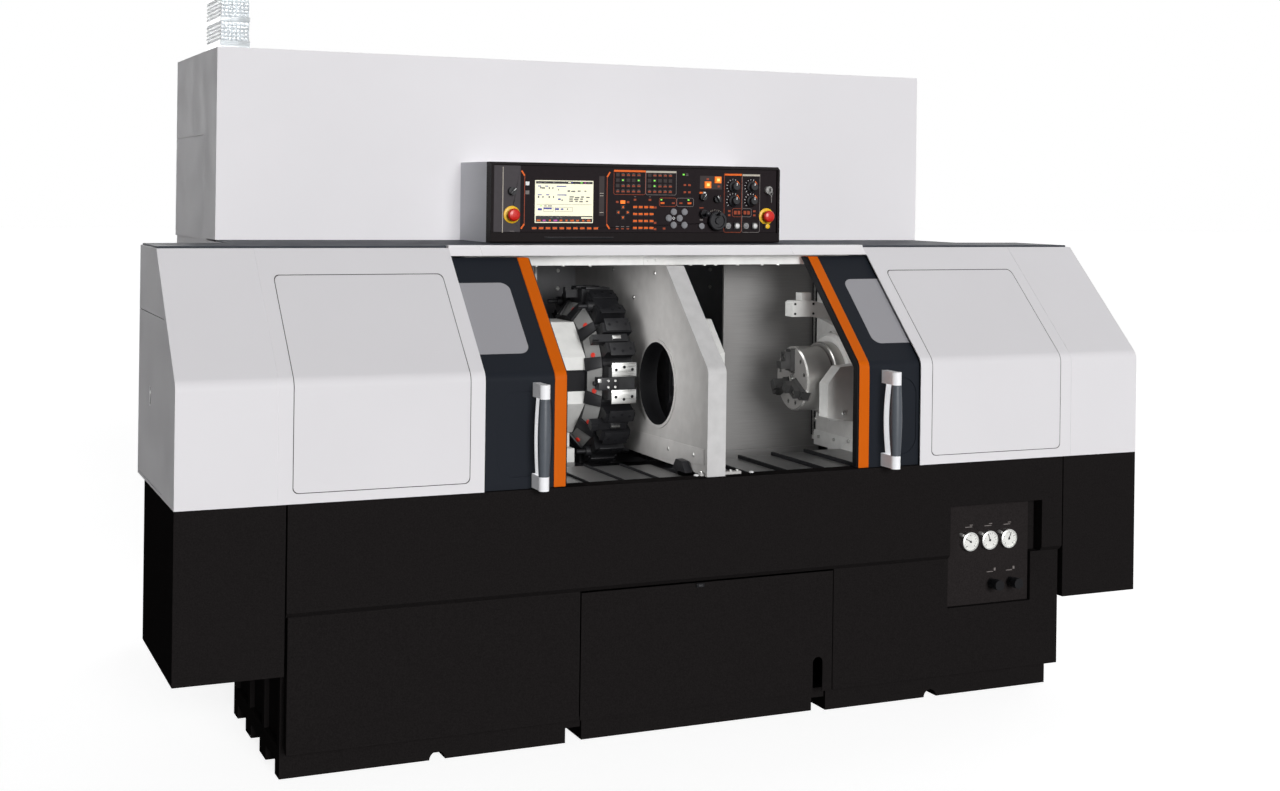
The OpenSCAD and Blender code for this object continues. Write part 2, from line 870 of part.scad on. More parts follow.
// Spindles

// Chuck, nose, shaft and rear cylinder turn as one; z = 0 is the chuck's face
module spindle(side) {
    r = chuck_d / 2;
    neck = r - 12;
    n0 = chuck_l + 6;
    n1 = n0 + nose_l;
    end = headstock_end - face_u + seat;
    color("#a9a9a8") side_frame(side) on_axis(face_u) difference() {
        rotate_extrude($fn = 96) polygon([
            [0, 0], [r - 5, 0], [r, 5], [r, chuck_l - 2], [r - 2, chuck_l], [neck, chuck_l], [neck, n0],
            [nose_d / 2 - 3, n0], [nose_d / 2, n0 + 3], [nose_d / 2, n1], [shaft_d / 2, n1],
            [shaft_d / 2, end], [shaft_d / 2 + 22, end], [shaft_d / 2 + 22, end + 80], [0, end + 80]
        ]);
        for (a = jaw_angles) rotate([0, 0, a]) {
            translate([18, -jaw_w / 2 - clear, -1]) cube([r, jaw_w + 2 * clear, slot_l + 1]);
            for (b = [43, 77]) rotate([0, 0, b]) translate([r - 24, 0, -1]) cylinder(r = 7, h = 13);
        }
        translate([0, 0, -1]) cylinder(r = 15, h = 7);
    }
}

module jaw(side, i) {
    r = chuck_d / 2;
    proud = 16;
    top = 50;
    step = 34;
    color("#3b3b3d") side_frame(side) on_axis(face_u) rotate([0, 0, jaw_angles[i]]) difference() {
        union() {
            translate([26, -jaw_w / 2, -proud]) cube([r - 34, jaw_w, proud + slot_l - clear]);
            translate([34, -jaw_w / 2 + 1, -top]) cube([24, jaw_w - 2, top - proud]);
            translate([58, -jaw_w / 2 + 1, -step]) cube([r - 75, jaw_w - 2, step - proud]);
        }
        translate([74, 0, -step - 1]) cylinder(r = 8, h = 11);
    }
}

module headstock(side) {
    base_z = bed_top;
    top = axis_z + headstock_top;
    chamfer = 40;
    y0 = axis_y - headstock_half;
    y1 = axis_y + headstock_half;
    front = wall_u + sheet;
    color("#c8c8c6") side_frame(side) difference() {
        union() {
            on_axis(headstock_u) rotate_extrude($fn = 96) polygon([
                [0, 0], [headstock_d / 2 - 10, 0], [headstock_d / 2, 10],
                [headstock_d / 2, front - headstock_u + 6], [0, front - headstock_u + 6]
            ]);
            along_x(front, headstock_end) polygon([
                [y0, base_z], [y0, top - chamfer], [y0 + chamfer, top], [y1 - chamfer, top],
                [y1, top - chamfer], [y1, base_z]
            ]);
        }
        on_axis(headstock_u - 1) cylinder(d = shaft_d + 2 * clear, h = headstock_end - headstock_u + 2);
    }
}

// Bent measuring arm and coolant block beside the right chuck
module tool_setter() {
    arm_y = axis_y - 24;
    front = axis_y - headstock_d / 2;
    color("#c6c6c4") side_frame(1) difference() {
        union() {
            along_y(arm_y, axis_y + 26) polygon([
                [face_u - 14, axis_z + 204], [face_u - 14, axis_z + 250], [face_u - 6, axis_z + 256],
                [face_u + 65, axis_z + 256], [face_u + 125, axis_z + 240], [face_u + 175, axis_z + 212],
                [wall_u, axis_z + 200], [wall_u, axis_z + 152], [face_u + 173, axis_z + 166],
                [face_u + 115, axis_z + 194], [face_u + 59, axis_z + 204]
            ]);
            block([face_u + 22, arm_y + 6, axis_z + 250], [face_u + 58, axis_y + 20, axis_z + 282]);
            along_y(front - 42, front + 12) polygon([
                [face_u + 27, axis_z - 108], [face_u + 27, axis_z], [face_u + 72, axis_z + 53],
                [headstock_u + 62, axis_z + 64], [headstock_u + 62, axis_z - 136]
            ]);
        }
        on_axis(headstock_u) cylinder(d = headstock_d, h = wall_u - headstock_u, $fn = 96);
    }
}

module left_spindle() {
    spindle(-1);
}

module right_spindle() {
    spindle(1);
}

module left_jaw_1() {
    jaw(-1, 0);
}

module left_jaw_2() {
    jaw(-1, 1);
}

module left_jaw_3() {
    jaw(-1, 2);
}

module right_jaw_1() {
    jaw(1, 0);
}

module right_jaw_2() {
    jaw(1, 1);
}

module right_jaw_3() {
    jaw(1, 2);
}

module left_headstock() {
    headstock(-1);
}

module right_headstock() {
    headstock(1);
}

// Turrets

function drum_u(side) = side < 0 ? left_drum_u : right_drum_u;
function housing_u(side) = drum_u(side) + drum_l + bevel_l + housing_gap;
function foot_u(side) = housing_u(side) + 24;
function guard_u(side) = housing_u(side) + housing_l + guard_in;

// Saddle on the bed's rails with the upright steel guard it carries
module carriage(side) {
    u0 = foot_u(side);
    u1 = housing_u(side) + housing_l + 17;
    g0 = guard_u(side);
    color("#77787a") side_frame(side) {
        block([u0, turret_y - 160, saddle_z], [u1, turret_y + 290, saddle_z + saddle_t]);
        block([u1, guard_y - 8, saddle_z], [wall_u + 30, guard_y + 12, saddle_z + saddle_t]);
        block([g0, guard_y, saddle_z + saddle_t], [wall_u + 30, guard_y + sheet, beam_z - 6]);
        block([g0 - 8, guard_y - 4, saddle_z + saddle_t], [g0, guard_y + 8, beam_z - 6]);
    }
}

// Octagonal indexing housing on its cross slide
module turret_housing(side) {
    u0 = housing_u(side);
    u1 = u0 + housing_l;
    front = turret_y - housing_flat;
    band = 34;
    color("#cdcdcb") side_frame(side) difference() {
        union() {
            on_turret(u0) rotate([0, 0, 22.5])
                cylinder(r = housing_flat / cos(22.5), h = housing_l, $fn = 8);
            block([foot_u(side), turret_y - 110, cross_z], [u1, turret_y + 110, axis_z - housing_flat + 4]);
            block([foot_u(side), turret_y - 156, cross_z], [u1 + 10, turret_y + 240, cross_z + cross_t]);
        }
        on_turret(u0 - 1) cylinder(r = pivot_r + clear, h = pivot_l + 2);
        block([u0 - 1, front - 1, axis_z - band], [u1 + 1, front + 5, axis_z + band]);
    }
}

// Repeats a piece at each station of a turret, or at every other one
module at_stations(first, step) {
    for (i = [first : step : stations - 1]) rotate([0, 0, i * station_a]) children();
}

// Faceted drum with one tool block on each flat
module turret_drum(side) {
    sharp = 1 / cos(station_a / 2);
    bevel_drop = 42;
    color("#242426") side_frame(side) on_turret(drum_u(side)) difference() {
        union() {
            difference() {
                rotate([0, 0, station_a / 2])
                    cylinder(r = drum_flat * sharp, h = drum_l + bevel_l, $fn = stations);
                at_stations(0, 1) translate([drum_flat, -drum_flat / 2, drum_l])
                    rotate([0, -atan2(bevel_drop, bevel_l), 0]) cube([drum_flat, drum_flat, drum_flat]);
            }
            at_stations(0, 1) translate([drum_flat - 4, -block_w / 2, 2])
                cube([block_top - drum_flat + 4, block_w, drum_l - 4]);
            cylinder(r = pivot_r, h = drum_l + bevel_l + pivot_l);
        }
        at_stations(0, 1) translate([block_top - slot_h, -slot_w / 2, -1])
            cube([slot_h + 1, slot_w, drum_l + 2]);
    }
}

// Square-shank tools and round holders in alternate stations
module tools(side) {
    seat_r = block_top - slot_h;
    color("#1a1a1c") side_frame(side) on_turret(drum_u(side)) {
        at_stations(0, 2) {
            translate([seat_r, -13, 20]) cube([26, 26, drum_l + 18]);
            translate([seat_r + 20, -9, drum_l + 18]) cube([14, 18, 22]);
        }
        at_stations(1, 2) {
            translate([seat_r, -slot_w / 2, 12]) cube([slot_h, slot_w, drum_l - 20]);
            translate([seat_r + 15, 0, drum_l - 8]) cylinder(r = 15, h = 22);
            translate([seat_r + 15, 0, drum_l + 14]) cylinder(r = 7, h = 30);
        }
    }
}

module left_carriage() {
    carriage(-1);
}

module right_carriage() {
    carriage(1);
}

module left_turret_housing() {
    turret_housing(-1);
}

module right_turret_housing() {
    turret_housing(1);
}

module left_turret_drum() {
    turret_drum(-1);
}

module right_turret_drum() {
    turret_drum(1);
}

module left_tools() {
    tools(-1);
}

module right_tools() {
    tools(1);
}

// Open-topped tank with its front panel, drawn forward between the pedestals
module coolant_tank() {
    wall = 4;
    low = 4;
    top = band_bottom - 25;
    front_half = pedestal_in - 18;
    slot_r = 17;
    slot_x = front_half - 50;
    runner_z = 40;
    color("#1d1c1d") at_datum() {
        difference() {
            block([-tank_half, plinth_set, low], [tank_half, plinth_set + tank_d, top]);
            block(
                [-tank_half + wall, plinth_set + wall, low + wall],
                [tank_half - wall, plinth_set + tank_d - wall, top + 1]
            );
        }
        for (side = [-1, 1]) mirror([side < 0 ? 1 : 0, 0, 0])
            block(
                [tank_half, plinth_set + 10, runner_z],
                [pedestal_in - seat, plinth_set + tank_d - 10, runner_z + 30]
            );
        difference() {
            union() {
                block([-front_half, panel_set, plinth_h], [front_half, panel_set + wall, band_bottom - 5]);
                for (x = [-front_half + 40, front_half - 120])
                    block([x, panel_set, plinth_h + 40], [x + 80, plinth_set, top]);
            }
            translate([slot_x, panel_set - 1, plinth_h - 1]) along_y(0, 100) union() {
                translate([-slot_r, 0]) square([2 * slot_r, 90]);
                translate([0, 90]) circle(slot_r);
            }
        }
    }
}

pedestals();
bed();
front_band();
lower_panels();
end_skirts();
gauge_panel();
gauges();
left_canopy();
right_canopy();
front_covers();
roof_plates();
header();
top_rail();
divider();
chamber_walls();
way_covers();
side_covers();
rear_enclosure();
electrical_cabinet();
control_box();
control_panel();
screen();
control_keys();
signal_lamp();
tool_setter();
left_headstock();
right_headstock();
left_door_panel();
left_door_edge();
left_window();
left_handle();
right_door_panel();
right_door_edge();
right_window();
right_handle();
left_spindle();
left_jaw_1();
left_jaw_2();
left_jaw_3();
right_spindle();
right_jaw_1();
right_jaw_2();
right_jaw_3();
left_carriage();
left_turret_housing();
left_turret_drum();
left_tools();
right_carriage();
right_turret_housing();
right_turret_drum();
right_tools();
service_door();
coolant_tank();
left_stop_button();
right_stop_button();
handwheel();
feed_knob();
rapid_knob();
left_spindle_knob();
right_spindle_knob();
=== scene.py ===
import json
import math

import bmesh
import bpy
from mathutils import Matrix, Vector


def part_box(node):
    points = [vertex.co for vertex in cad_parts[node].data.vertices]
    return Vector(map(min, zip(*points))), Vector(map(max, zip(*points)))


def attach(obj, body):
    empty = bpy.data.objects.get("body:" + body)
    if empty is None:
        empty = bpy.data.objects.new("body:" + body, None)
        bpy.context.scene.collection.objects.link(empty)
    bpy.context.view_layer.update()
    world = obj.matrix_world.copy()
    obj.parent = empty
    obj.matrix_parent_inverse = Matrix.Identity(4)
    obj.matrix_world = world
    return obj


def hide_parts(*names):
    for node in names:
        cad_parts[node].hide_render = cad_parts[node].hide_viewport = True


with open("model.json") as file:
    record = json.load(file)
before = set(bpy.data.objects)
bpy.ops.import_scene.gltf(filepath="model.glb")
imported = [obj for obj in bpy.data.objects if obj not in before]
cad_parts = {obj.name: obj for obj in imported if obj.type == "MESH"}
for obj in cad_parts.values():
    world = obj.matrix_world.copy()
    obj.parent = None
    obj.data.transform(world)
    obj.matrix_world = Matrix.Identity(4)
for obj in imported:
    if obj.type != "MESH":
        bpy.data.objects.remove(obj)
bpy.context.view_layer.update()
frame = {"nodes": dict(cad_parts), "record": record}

# Places are machine millimetres: x from the middle, y behind the front covers, z above the floor
MM = 0.001
FRONT_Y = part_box("front_band")[0].y
TO_FRAME = Matrix.Translation((0, FRONT_Y, 0)) @ Matrix.Scale(MM, 4)
FROM_FRAME = TO_FRAME.inverted()


def low_high(node):
    """Lowest and highest corner of a node, in machine millimetres."""
    low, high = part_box(node)
    return FROM_FRAME @ low, FROM_FRAME @ high


# Materials


def srgb(red, green, blue):
    """Linear colour of an 8-bit screen colour."""
    def linear(c):
        c = c / 255
        return c / 12.92 if c <= 0.04045 else ((c + 0.055) / 1.055) ** 2.4
    return (linear(red), linear(green), linear(blue), 1.0)


def shade(color, factor):
    return tuple(min(1.0, c * factor) for c in color[:3]) + (1.0,)


def feed(tree, node, inputs):
    """Gives a shader node's inputs values, or links from other nodes' outputs."""
    for key, value in inputs.items():
        if isinstance(value, bpy.types.NodeSocket):
            tree.links.new(value, node.inputs[key])
        else:
            node.inputs[key].default_value = value


def add_node(tree, kind, inputs, operation=None):
    node = tree.nodes.new("ShaderNode" + kind)
    if operation:
        node.operation = operation
    feed(tree, node, inputs)
    return node


class Finish:
    """A surface shader in the making, from an 8-bit screen colour."""

    def __init__(self, name, color, roughness=0.5, metallic=0.0, specular=0.5):
        self.material = bpy.data.materials.new(name)
        self.material.use_nodes = True
        self.tree = self.material.node_tree
        self.bsdf = self.tree.nodes["Principled BSDF"]
        self.color = srgb(*color)
        self.surface({"Base Color": self.color, "Roughness": roughness, "Metallic": metallic,
                      "Specular IOR Level": specular})
        self.space = self.tree.nodes.new("ShaderNodeTexCoord").outputs["Object"]

    def surface(self, inputs):
        feed(self.tree, self.bsdf, inputs)
        return self

    def stretched(self, x, y, z):
        return add_node(self.tree, "Mapping", {"Vector": self.space, "Scale": (x, y, z)}).outputs["Vector"]

    def noise(self, scale, detail=2.0, vector=None):
        inputs = {"Vector": vector or self.space, "Scale": scale, "Detail": detail}
        return add_node(self.tree, "TexNoise", inputs).outputs["Fac"]

    def spread(self, fac, low, high):
        """Stretches the middle of a noise over low to high."""
        inputs = {"Value": fac, "From Min": 0.3, "From Max": 0.7, "To Min": low, "To Max": high}
        return add_node(self.tree, "MapRange", inputs).outputs["Result"]

    def mottle(self, fac, amount):
        """Varies the colour between a darker and a lighter tone."""
        node = self.tree.nodes.new("ShaderNodeMix")
        node.data_type = "RGBA"
        factor, dark, light, mixed = 0, 6, 7, node.outputs[2]
        tones = {dark: shade(self.color, 1 - amount), light: shade(self.color, 1 + amount)}
        feed(self.tree, node, {factor: self.spread(fac, 0.0, 1.0), **tones})
        return self.surface({"Base Color": mixed})

    def gloss(self, fac, low, high):
        return self.surface({"Roughness": self.spread(fac, low, high)})

    def bump(self, fac, strength, depth):
        node = add_node(self.tree, "Bump", {"Strength": strength, "Distance": depth, "Height": fac})
        return self.surface({"Normal": node.outputs["Normal"]})

    def radius_about(self, y, z):
        """Distance from a line along x through y, z, in metres."""
        shift = add_node(self.tree, "VectorMath", {0: self.space, 1: (0.0, y, z)}, "SUBTRACT")
        flat = add_node(self.tree, "VectorMath", {0: shift.outputs["Vector"], 1: (0.0, 1.0, 1.0)}, "MULTIPLY")
        length = add_node(self.tree, "VectorMath", {0: flat.outputs["Vector"]}, "LENGTH")
        return add_node(self.tree, "CombineXYZ", {"X": length.outputs["Value"]}).outputs["Vector"]


def sheet_paint(name, color, roughness=0.5, specular=0.1, mottling=0.012):
    """Sprayed sheet metal: faint orange peel and cloudy gloss."""
    f = Finish(name, color, roughness, specular=specular)
    f.mottle(f.noise(2.2, 3.0), mottling)
    f.gloss(f.noise(9.0, 3.0), roughness - 0.05, roughness + 0.06)
    return f.bump(f.noise(420.0), 0.05, 0.0006).material


def grainy_paint(name, color, roughness=0.6, specular=0.0):
    """Textured powder coat."""
    f = Finish(name, color, roughness, specular=specular)
    f.mottle(f.noise(260.0, 4.0), 0.22)
    f.gloss(f.noise(30.0, 3.0), roughness - 0.08, roughness + 0.08)
    return f.bump(f.noise(700.0, 3.0), 0.35, 0.0005).material


def moulded(name, color, roughness=0.4, specular=0.4):
    """Moulded plastic with a fine spark-eroded grain."""
    f = Finish(name, color, roughness, specular=specular)
    f.mottle(f.noise(60.0, 2.0), 0.05)
    f.gloss(f.noise(140.0, 2.0), roughness - 0.06, roughness + 0.06)
    return f.bump(f.noise(1600.0), 0.12, 0.0003).material


def brushed(name, color, roughness=0.36, along=(1.0, 60.0, 60.0), scale=8.0, metallic=1.0):
    """Rolled or brushed steel, grained along one axis."""
    f = Finish(name, color, roughness, metallic=metallic)
    streaks = f.noise(scale, 4.0, f.stretched(*along))
    f.mottle(streaks, 0.1)
    f.gloss(streaks, roughness - 0.08, roughness + 0.1)
    return f.bump(streaks, 0.12, 0.0004).material


def turned(name, color, centre, roughness=0.3, metallic=1.0):
    """Turned steel: fine rings about a spindle axis."""
    f = Finish(name, color, roughness, metallic=metallic)
    rings = f.noise(700.0, 2.0, f.radius_about(centre.y, centre.z))
    f.mottle(f.noise(14.0, 3.0), 0.08)
    f.gloss(rings, roughness - 0.08, roughness + 0.12)
    return f.bump(rings, 0.18, 0.0002).material


def cast_paint(name, color, roughness=0.5, specular=0.3):
    """Painted casting or plate with a slightly uneven face."""
    f = Finish(name, color, roughness, specular=specular)
    f.mottle(f.noise(26.0, 5.0), 0.06)
    f.gloss(f.noise(40.0, 3.0), roughness - 0.08, roughness + 0.1)
    return f.bump(f.noise(180.0, 3.0), 0.14, 0.0006).material


def glowing(name, color, strength):
    f = Finish(name, color, 0.25)
    f.mottle(f.noise(35.0), 0.04)
    return f.surface({"Emission Color": f.color, "Emission Strength": strength}).material


def clear_lens(name, color):
    f = Finish(name, color, 0.08, specular=0.6)
    f.gloss(f.noise(90.0), 0.05, 0.16)
    return f.surface({"Transmission Weight": 0.55, "IOR": 1.45}).material


spindle_line = (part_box("right_spindle")[0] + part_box("right_spindle")[1]) / 2

MATERIALS = {
    "white": sheet_paint("white_paint", (228, 226, 229)),
    "white_bright": sheet_paint("white_header_paint", (246, 244, 246)),
    "white_cover": sheet_paint("white_cover_paint", (226, 224, 227)),
    "roof": sheet_paint("roof_paint", (62, 66, 72), 0.5, 0.045),
    "black": grainy_paint("black_paint", (30, 28, 28)),
    "gauge_plate": grainy_paint("gauge_plate_paint", (40, 37, 37), 0.55),
    "casting": cast_paint("black_casting", (38, 38, 41)),
    "gray": cast_paint("gray_paint", (206, 205, 203)),
    "gray_mid": cast_paint("divider_paint", (185, 183, 181)),
    "gray_light": cast_paint("light_gray_paint", (216, 216, 214)),
    "box_gray": sheet_paint("control_box_gray", (226, 227, 231)),
    "door": sheet_paint("door_paint", (31, 34, 40), 0.45, 0.05, 0.05),
    "orange": sheet_paint("orange_paint", (208, 96, 8), 0.42, 0.08, 0.03),
    "way_steel": brushed("way_steel", (150, 150, 150)),
    "guard_steel": brushed("guard_steel", (112, 111, 110), 0.5, (1.0, 40.0, 40.0), 8.0, 0.2),
    "bright_steel": brushed("bright_steel", (205, 205, 203), 0.3),
    "chuck": turned("chuck_steel", (182, 181, 178), spindle_line, 0.25, 0.8),
    "jaw": cast_paint("jaw_steel", (42, 42, 42), 0.35, 0.5),
    "tool": cast_paint("tool_steel", (24, 24, 26), 0.42, 0.3),
    "drum": cast_paint("turret_black", (20, 20, 22), 0.45, 0.25),
    # The door handles' caps and the strap behind the grip glow faintly: painted light that keeps them bright
    # where the grip and the door shade them.
    "handle": glowing("handle_silver_painted_glow", (236, 236, 239), 0.14),
    "strap": glowing("handle_strap_painted_glow", (236, 237, 240), 0.6),
    "grip": moulded("handle_grip", (74, 79, 86), 0.42, 0.4),
    "panel": moulded("control_plastic", (38, 33, 35), 0.55, 0.03),
    "bezel": moulded("bezel_plastic", (30, 26, 27), 0.5, 0.05),
    "panel_light": moulded("control_strip", (66, 62, 65), 0.45, 0.12),
    "key_body": moulded("key_body", (50, 42, 42), 0.4, 0.2),
    "key_gray": moulded("key_gray", (128, 128, 132), 0.4, 0.3),
    "line_orange": moulded("line_orange", (232, 104, 34), 0.45, 0.2),
    "line_brown": moulded("line_brown", (150, 66, 38), 0.45, 0.2),
    "line_pale": moulded("line_pale", (186, 178, 166), 0.45, 0.2),
    "line_gray": moulded("line_gray", (118, 112, 110), 0.45, 0.2),
    "led_green": glowing("led_green", (110, 200, 70), 0.8),
    "lit_orange": glowing("lit_orange", (250, 120, 30), 0.5),
    "lit_core": glowing("lit_core", (255, 205, 110), 0.7),
    "ring_steel": moulded("ring_steel", (150, 149, 147), 0.3, 0.5),
    "white_key": moulded("key_white", (226, 226, 226), 0.4),
    "yellow": moulded("yellow_plastic", (236, 186, 28), 0.4),
    "screen_dark": glowing("screen_dark", (22, 20, 26), 0.02),
    "screen_line": glowing("screen_line", (100, 98, 96), 0.1),
    "screen_blue": glowing("screen_blue", (52, 56, 140), 0.3),
    "screen_pink": glowing("screen_pink", (176, 60, 150), 0.3),
    "red_plug": moulded("red_plug", (178, 44, 32), 0.4),
    # Dark strips set into the open gaps round the front covers: painted shade for the shadow in those gaps.
    "seam_shade": moulded("cover_seam_shade", (52, 48, 48), 0.6, 0.05),
    "seal": moulded("rubber_seal", (22, 22, 24), 0.6, 0.1),
    "screen": glowing("screen_face", (236, 233, 206), 0.35),
    "stop": moulded("stop_red", (205, 34, 26), 0.3),
    "lens": clear_lens("lens_clear", (222, 227, 230)),
    "gauge": moulded("gauge_face", (232, 232, 228), 0.35),
    "window": sheet_paint("window_gray", (152, 151, 156), 0.16, 0.5, 0.01),
    "bevel": cast_paint("bevel_steel", (112, 112, 111)),
    "flange": cast_paint("flange_paint", (200, 199, 199)),
    "chuck_face": turned("chuck_face_steel", (138, 136, 134), spindle_line, 0.4, 0.4),
    "housing": cast_paint("housing_paint", (178, 178, 176)),
    "dark_wall": cast_paint("dark_wall_paint", (112, 112, 114)),
    "knob": moulded("knob_black", (30, 30, 33), 0.4, 0.3),
}


# Mesh tools


def add_object(name, data):
    made = bpy.data.objects.new(name, data)
    bpy.context.scene.collection.objects.link(made)
    return made


def make_piece(name, bm, materials):
    """A piece from a finished mesh, with its materials by name."""
    mesh = bpy.data.meshes.new(name)
    bm.to_mesh(mesh)
    bm.free()
    for material in materials:
        mesh.materials.append(MATERIALS[material])
    return add_object(name, mesh)


class Shape:
    """One mesh in the making, in machine millimetres; mat numbers its materials."""

    def __init__(self):
        self.bm = bmesh.new()

    def take(self, part, place, mat, bevel=0.0):
        """Rounds a part's edges, moves it to its place and adds it."""
        if bevel:
            bmesh.ops.bevel(part, geom=part.edges[:], offset=bevel, segments=2, profile=0.6, affect="EDGES")
        part.transform(place)
        for face in part.faces:
            face.material_index = mat
        mesh = bpy.data.meshes.new("part")
        part.to_mesh(mesh)
        part.free()
        self.bm.from_mesh(mesh)
        bpy.data.meshes.remove(mesh)

    def block(self, low, high, mat=0, bevel=0.0, turn=None):
        low, high = Vector(low), Vector(high)
        part = bmesh.new()
        bmesh.ops.create_cube(part, size=1.0, matrix=Matrix.Diagonal((*(high - low), 1.0)))
        place = Matrix.Translation((low + high) / 2)
        self.take(part, turn @ place if turn else place, mat, bevel)

    def turned(self, base, axis, profile, mat=0, sides=40):
        """Revolves (radius, height) points about an axis from base.

        A profile that ends where it starts makes a ring.
        """
        part = bmesh.new()
        closed = profile[0] == profile[-1]
        rings = []
        for radius, height in profile[:-1] if closed else profile:
            angles = [2 * math.pi * i / sides for i in range(sides)] if radius > 0 else [0.0]
            ring = [(radius * math.cos(a), radius * math.sin(a), height) for a in angles]
            rings.append([part.verts.new(point) for point in ring])
        for a, b in zip(rings, rings[1:] + rings[:1] if closed else rings[1:]):
            for i in range(sides):
                loop = [a[i % len(a)], a[(i + 1) % len(a)], b[(i + 1) % len(b)], b[i % len(b)]]
                corners = list(dict.fromkeys(loop))
                if len(corners) > 2:
                    part.faces.new(corners)
        ends = () if closed else ((rings[0], True), (rings[-1], False))
        for ring, flip in ends:
            if len(ring) > 2:
                part.faces.new(ring[::-1] if flip else ring)
        turn = Vector((0, 0, 1)).rotation_difference(Vector(axis)).to_matrix().to_4x4()
        self.take(part, Matrix.Translation(base) @ turn, mat)

    def rod(self, start, end, radius, mat=0, sides=32):
        run = Vector(end) - Vector(start)
        self.turned(start, run, [(radius, 0), (radius, run.length)], mat, sides)

    def plate(self, outline, across, up, origin, depth, mat=0, bevel=0.0):
        """Extrudes a flat outline; across and up span its plane, and depth is measured along their cross."""
        across, up, origin = Vector(across).normalized(), Vector(up).normalized(), Vector(origin)
        part = bmesh.new()
        verts = [part.verts.new((x, y, 0.0)) for x, y in outline]
        face = part.faces.new(verts)
        solid = bmesh.ops.extrude_face_region(part, geom=[face])
        moved = [v for v in solid["geom"] if isinstance(v, bmesh.types.BMVert)]
        bmesh.ops.translate(part, verts=moved, vec=(0, 0, depth))
        bmesh.ops.recalc_face_normals(part, faces=part.faces[:])
        basis = Matrix((across, up, across.cross(up))).transposed().to_4x4()
        self.take(part, Matrix.Translation(origin) @ basis, mat, bevel)

    def done(self, name, body, slot, materials, angle=35.0):
        """Makes the piece; edges that turn by more than angle stay sharp."""
        self.bm.transform(TO_FRAME)
        for face in self.bm.faces:
            face.smooth = True
        for edge in self.bm.edges:
            edge.smooth = edge.calc_face_angle(0.0) < math.radians(angle)
        piece = make_piece(name, self.bm, materials)
        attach(piece, body)


BODY_OF = {node: body for body, nodes in frame["record"]["behaviour"]["bodies"].items() for node in nodes}


def softened(node, materials, radius=1.5, choose=None, cuts=(), smooth=True):
    """A node's own form with rounded edges.

    choose picks a material from a face's middle and normal.
    cuts are planes (point, normal) that divide faces.
    """
    bm = bmesh.new()
    bm.from_mesh(frame["nodes"][node].data)
    bmesh.ops.remove_doubles(bm, verts=bm.verts[:], dist=2e-6)
    bmesh.ops.dissolve_limit(
        bm, angle_limit=math.radians(0.5), verts=bm.verts[:], edges=bm.edges[:], use_dissolve_boundaries=False
    )
    for point, normal in cuts:
        geom = bm.verts[:] + bm.edges[:] + bm.faces[:]
        bmesh.ops.bisect_plane(bm, geom=geom, plane_co=TO_FRAME @ Vector(point), plane_no=Vector(normal))
    for face in bm.faces:
        face.smooth = smooth
        face.material_index = choose(FROM_FRAME @ face.calc_center_median(), face.normal) if choose else 0
    bmesh.ops.triangulate(bm, faces=[face for face in bm.faces if len(face.verts) > 4])
    piece = make_piece(node + "_form", bm, materials)
    round_off = piece.modifiers.new("edges", "BEVEL")
    round_off.width = radius * MM
    round_off.segments = 2
    round_off.limit_method = "ANGLE"
    round_off.angle_limit = math.radians(32)
    round_off.miter_outer = "MITER_ARC"
    if smooth:
        piece.modifiers.new("normals", "WEIGHTED_NORMAL").weight = 100
    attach(piece, BODY_OF[node])
    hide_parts(node)


# Covers and base

for node in ("left_canopy", "right_canopy", "header", "electrical_cabinet", "service_door", "side_covers",
             "rear_enclosure"):
    softened(node, ["white_bright" if node == "header" else "white"], 2.0)
softened("front_covers", ["white_cover"], 1.0)
softened("roof_plates", ["roof"], 1.5)
for node in ("pedestals", "front_band", "lower_panels", "end_skirts", "gauge_panel", "coolant_tank"):
    softened(node, ["gauge_plate" if node == "gauge_panel" else "black"], 2.0)
softened("bed", ["casting"], 3.0)

# Doors


def handle_part(middle, normal):
    """End brackets, dark bulged grip and the strap behind it, kept bright by a painted glow."""
    if not GRIP_LOW < middle.z < GRIP_HIGH:
        return 0
    return 1 if middle.y < GRIP_Y else 2


def on_rubber(middle, normal):
    """Picks the free edge of a door, which closes on the divider."""
    return 1 if normal.x * middle.x < -300 else 0


handle_low, handle_high = low_high("left_handle")
HANDLE_CAP = 40
GRIP_Y = handle_low.y + 36
GRIP_LOW, GRIP_HIGH = handle_low.z + HANDLE_CAP - 1, handle_high.z - HANDLE_CAP + 1
for side in ("left", "right"):
    softened(f"{side}_door_panel", ["door"], 2.0)
    softened(f"{side}_door_edge", ["orange", "seal"], 2.0, on_rubber)
    softened(f"{side}_window", ["window"], 1.0)
    softened(f"{side}_handle", ["handle", "grip", "strap"], 3.0, handle_part)

# Work chambers

# The folded front: height of the fold, roof edge and lean of the slope
BEND_Z = 1087
ROOF_Z = low_high("left_canopy")[1].z
ROOF_FRONT = 357
LEAN = math.atan2(ROOF_Z - BEND_Z, ROOF_FRONT)
# The divider's front flange, the spindle axis and the transfer hole about it
FLANGE_DEPTH = 35
AXIS_Y, AXIS_Z = 390, 1000
HOLE_R = 131


def front_depth(point):
    """Distance behind the folded front."""
    return min(point.y, point.y * math.sin(LEAN) - (point.z - BEND_Z) * math.cos(LEAN))


def divider_part(middle, normal):
    """Web, bright front flange and dark rim of the transfer hole."""
    if math.hypot(middle.y - AXIS_Y, middle.z - AXIS_Z) < HOLE_R + 2 and abs(normal.x) < 0.3:
        return 2
    return 1 if front_depth(middle) < FLANGE_DEPTH else 0


def on_back_wall(middle, normal):
    return 1 if middle.y > BACK_WALL_Y else 0


BACK_WALL_Y = 1095
softened("top_rail", ["gray_light"], 1.0)
softened("divider", ["gray_mid", "flange", "seal"], 2.0, divider_part)
softened("chamber_walls", ["gray", "dark_wall"], 1.0, on_back_wall)
softened("way_covers", ["way_steel"], 1.0)
softened("tool_setter", ["housing"], 3.0)
TURRET_Y, TURRET_Z = 716, 1000
HOUSING_FLAT = 180
BAND_HALF = 34


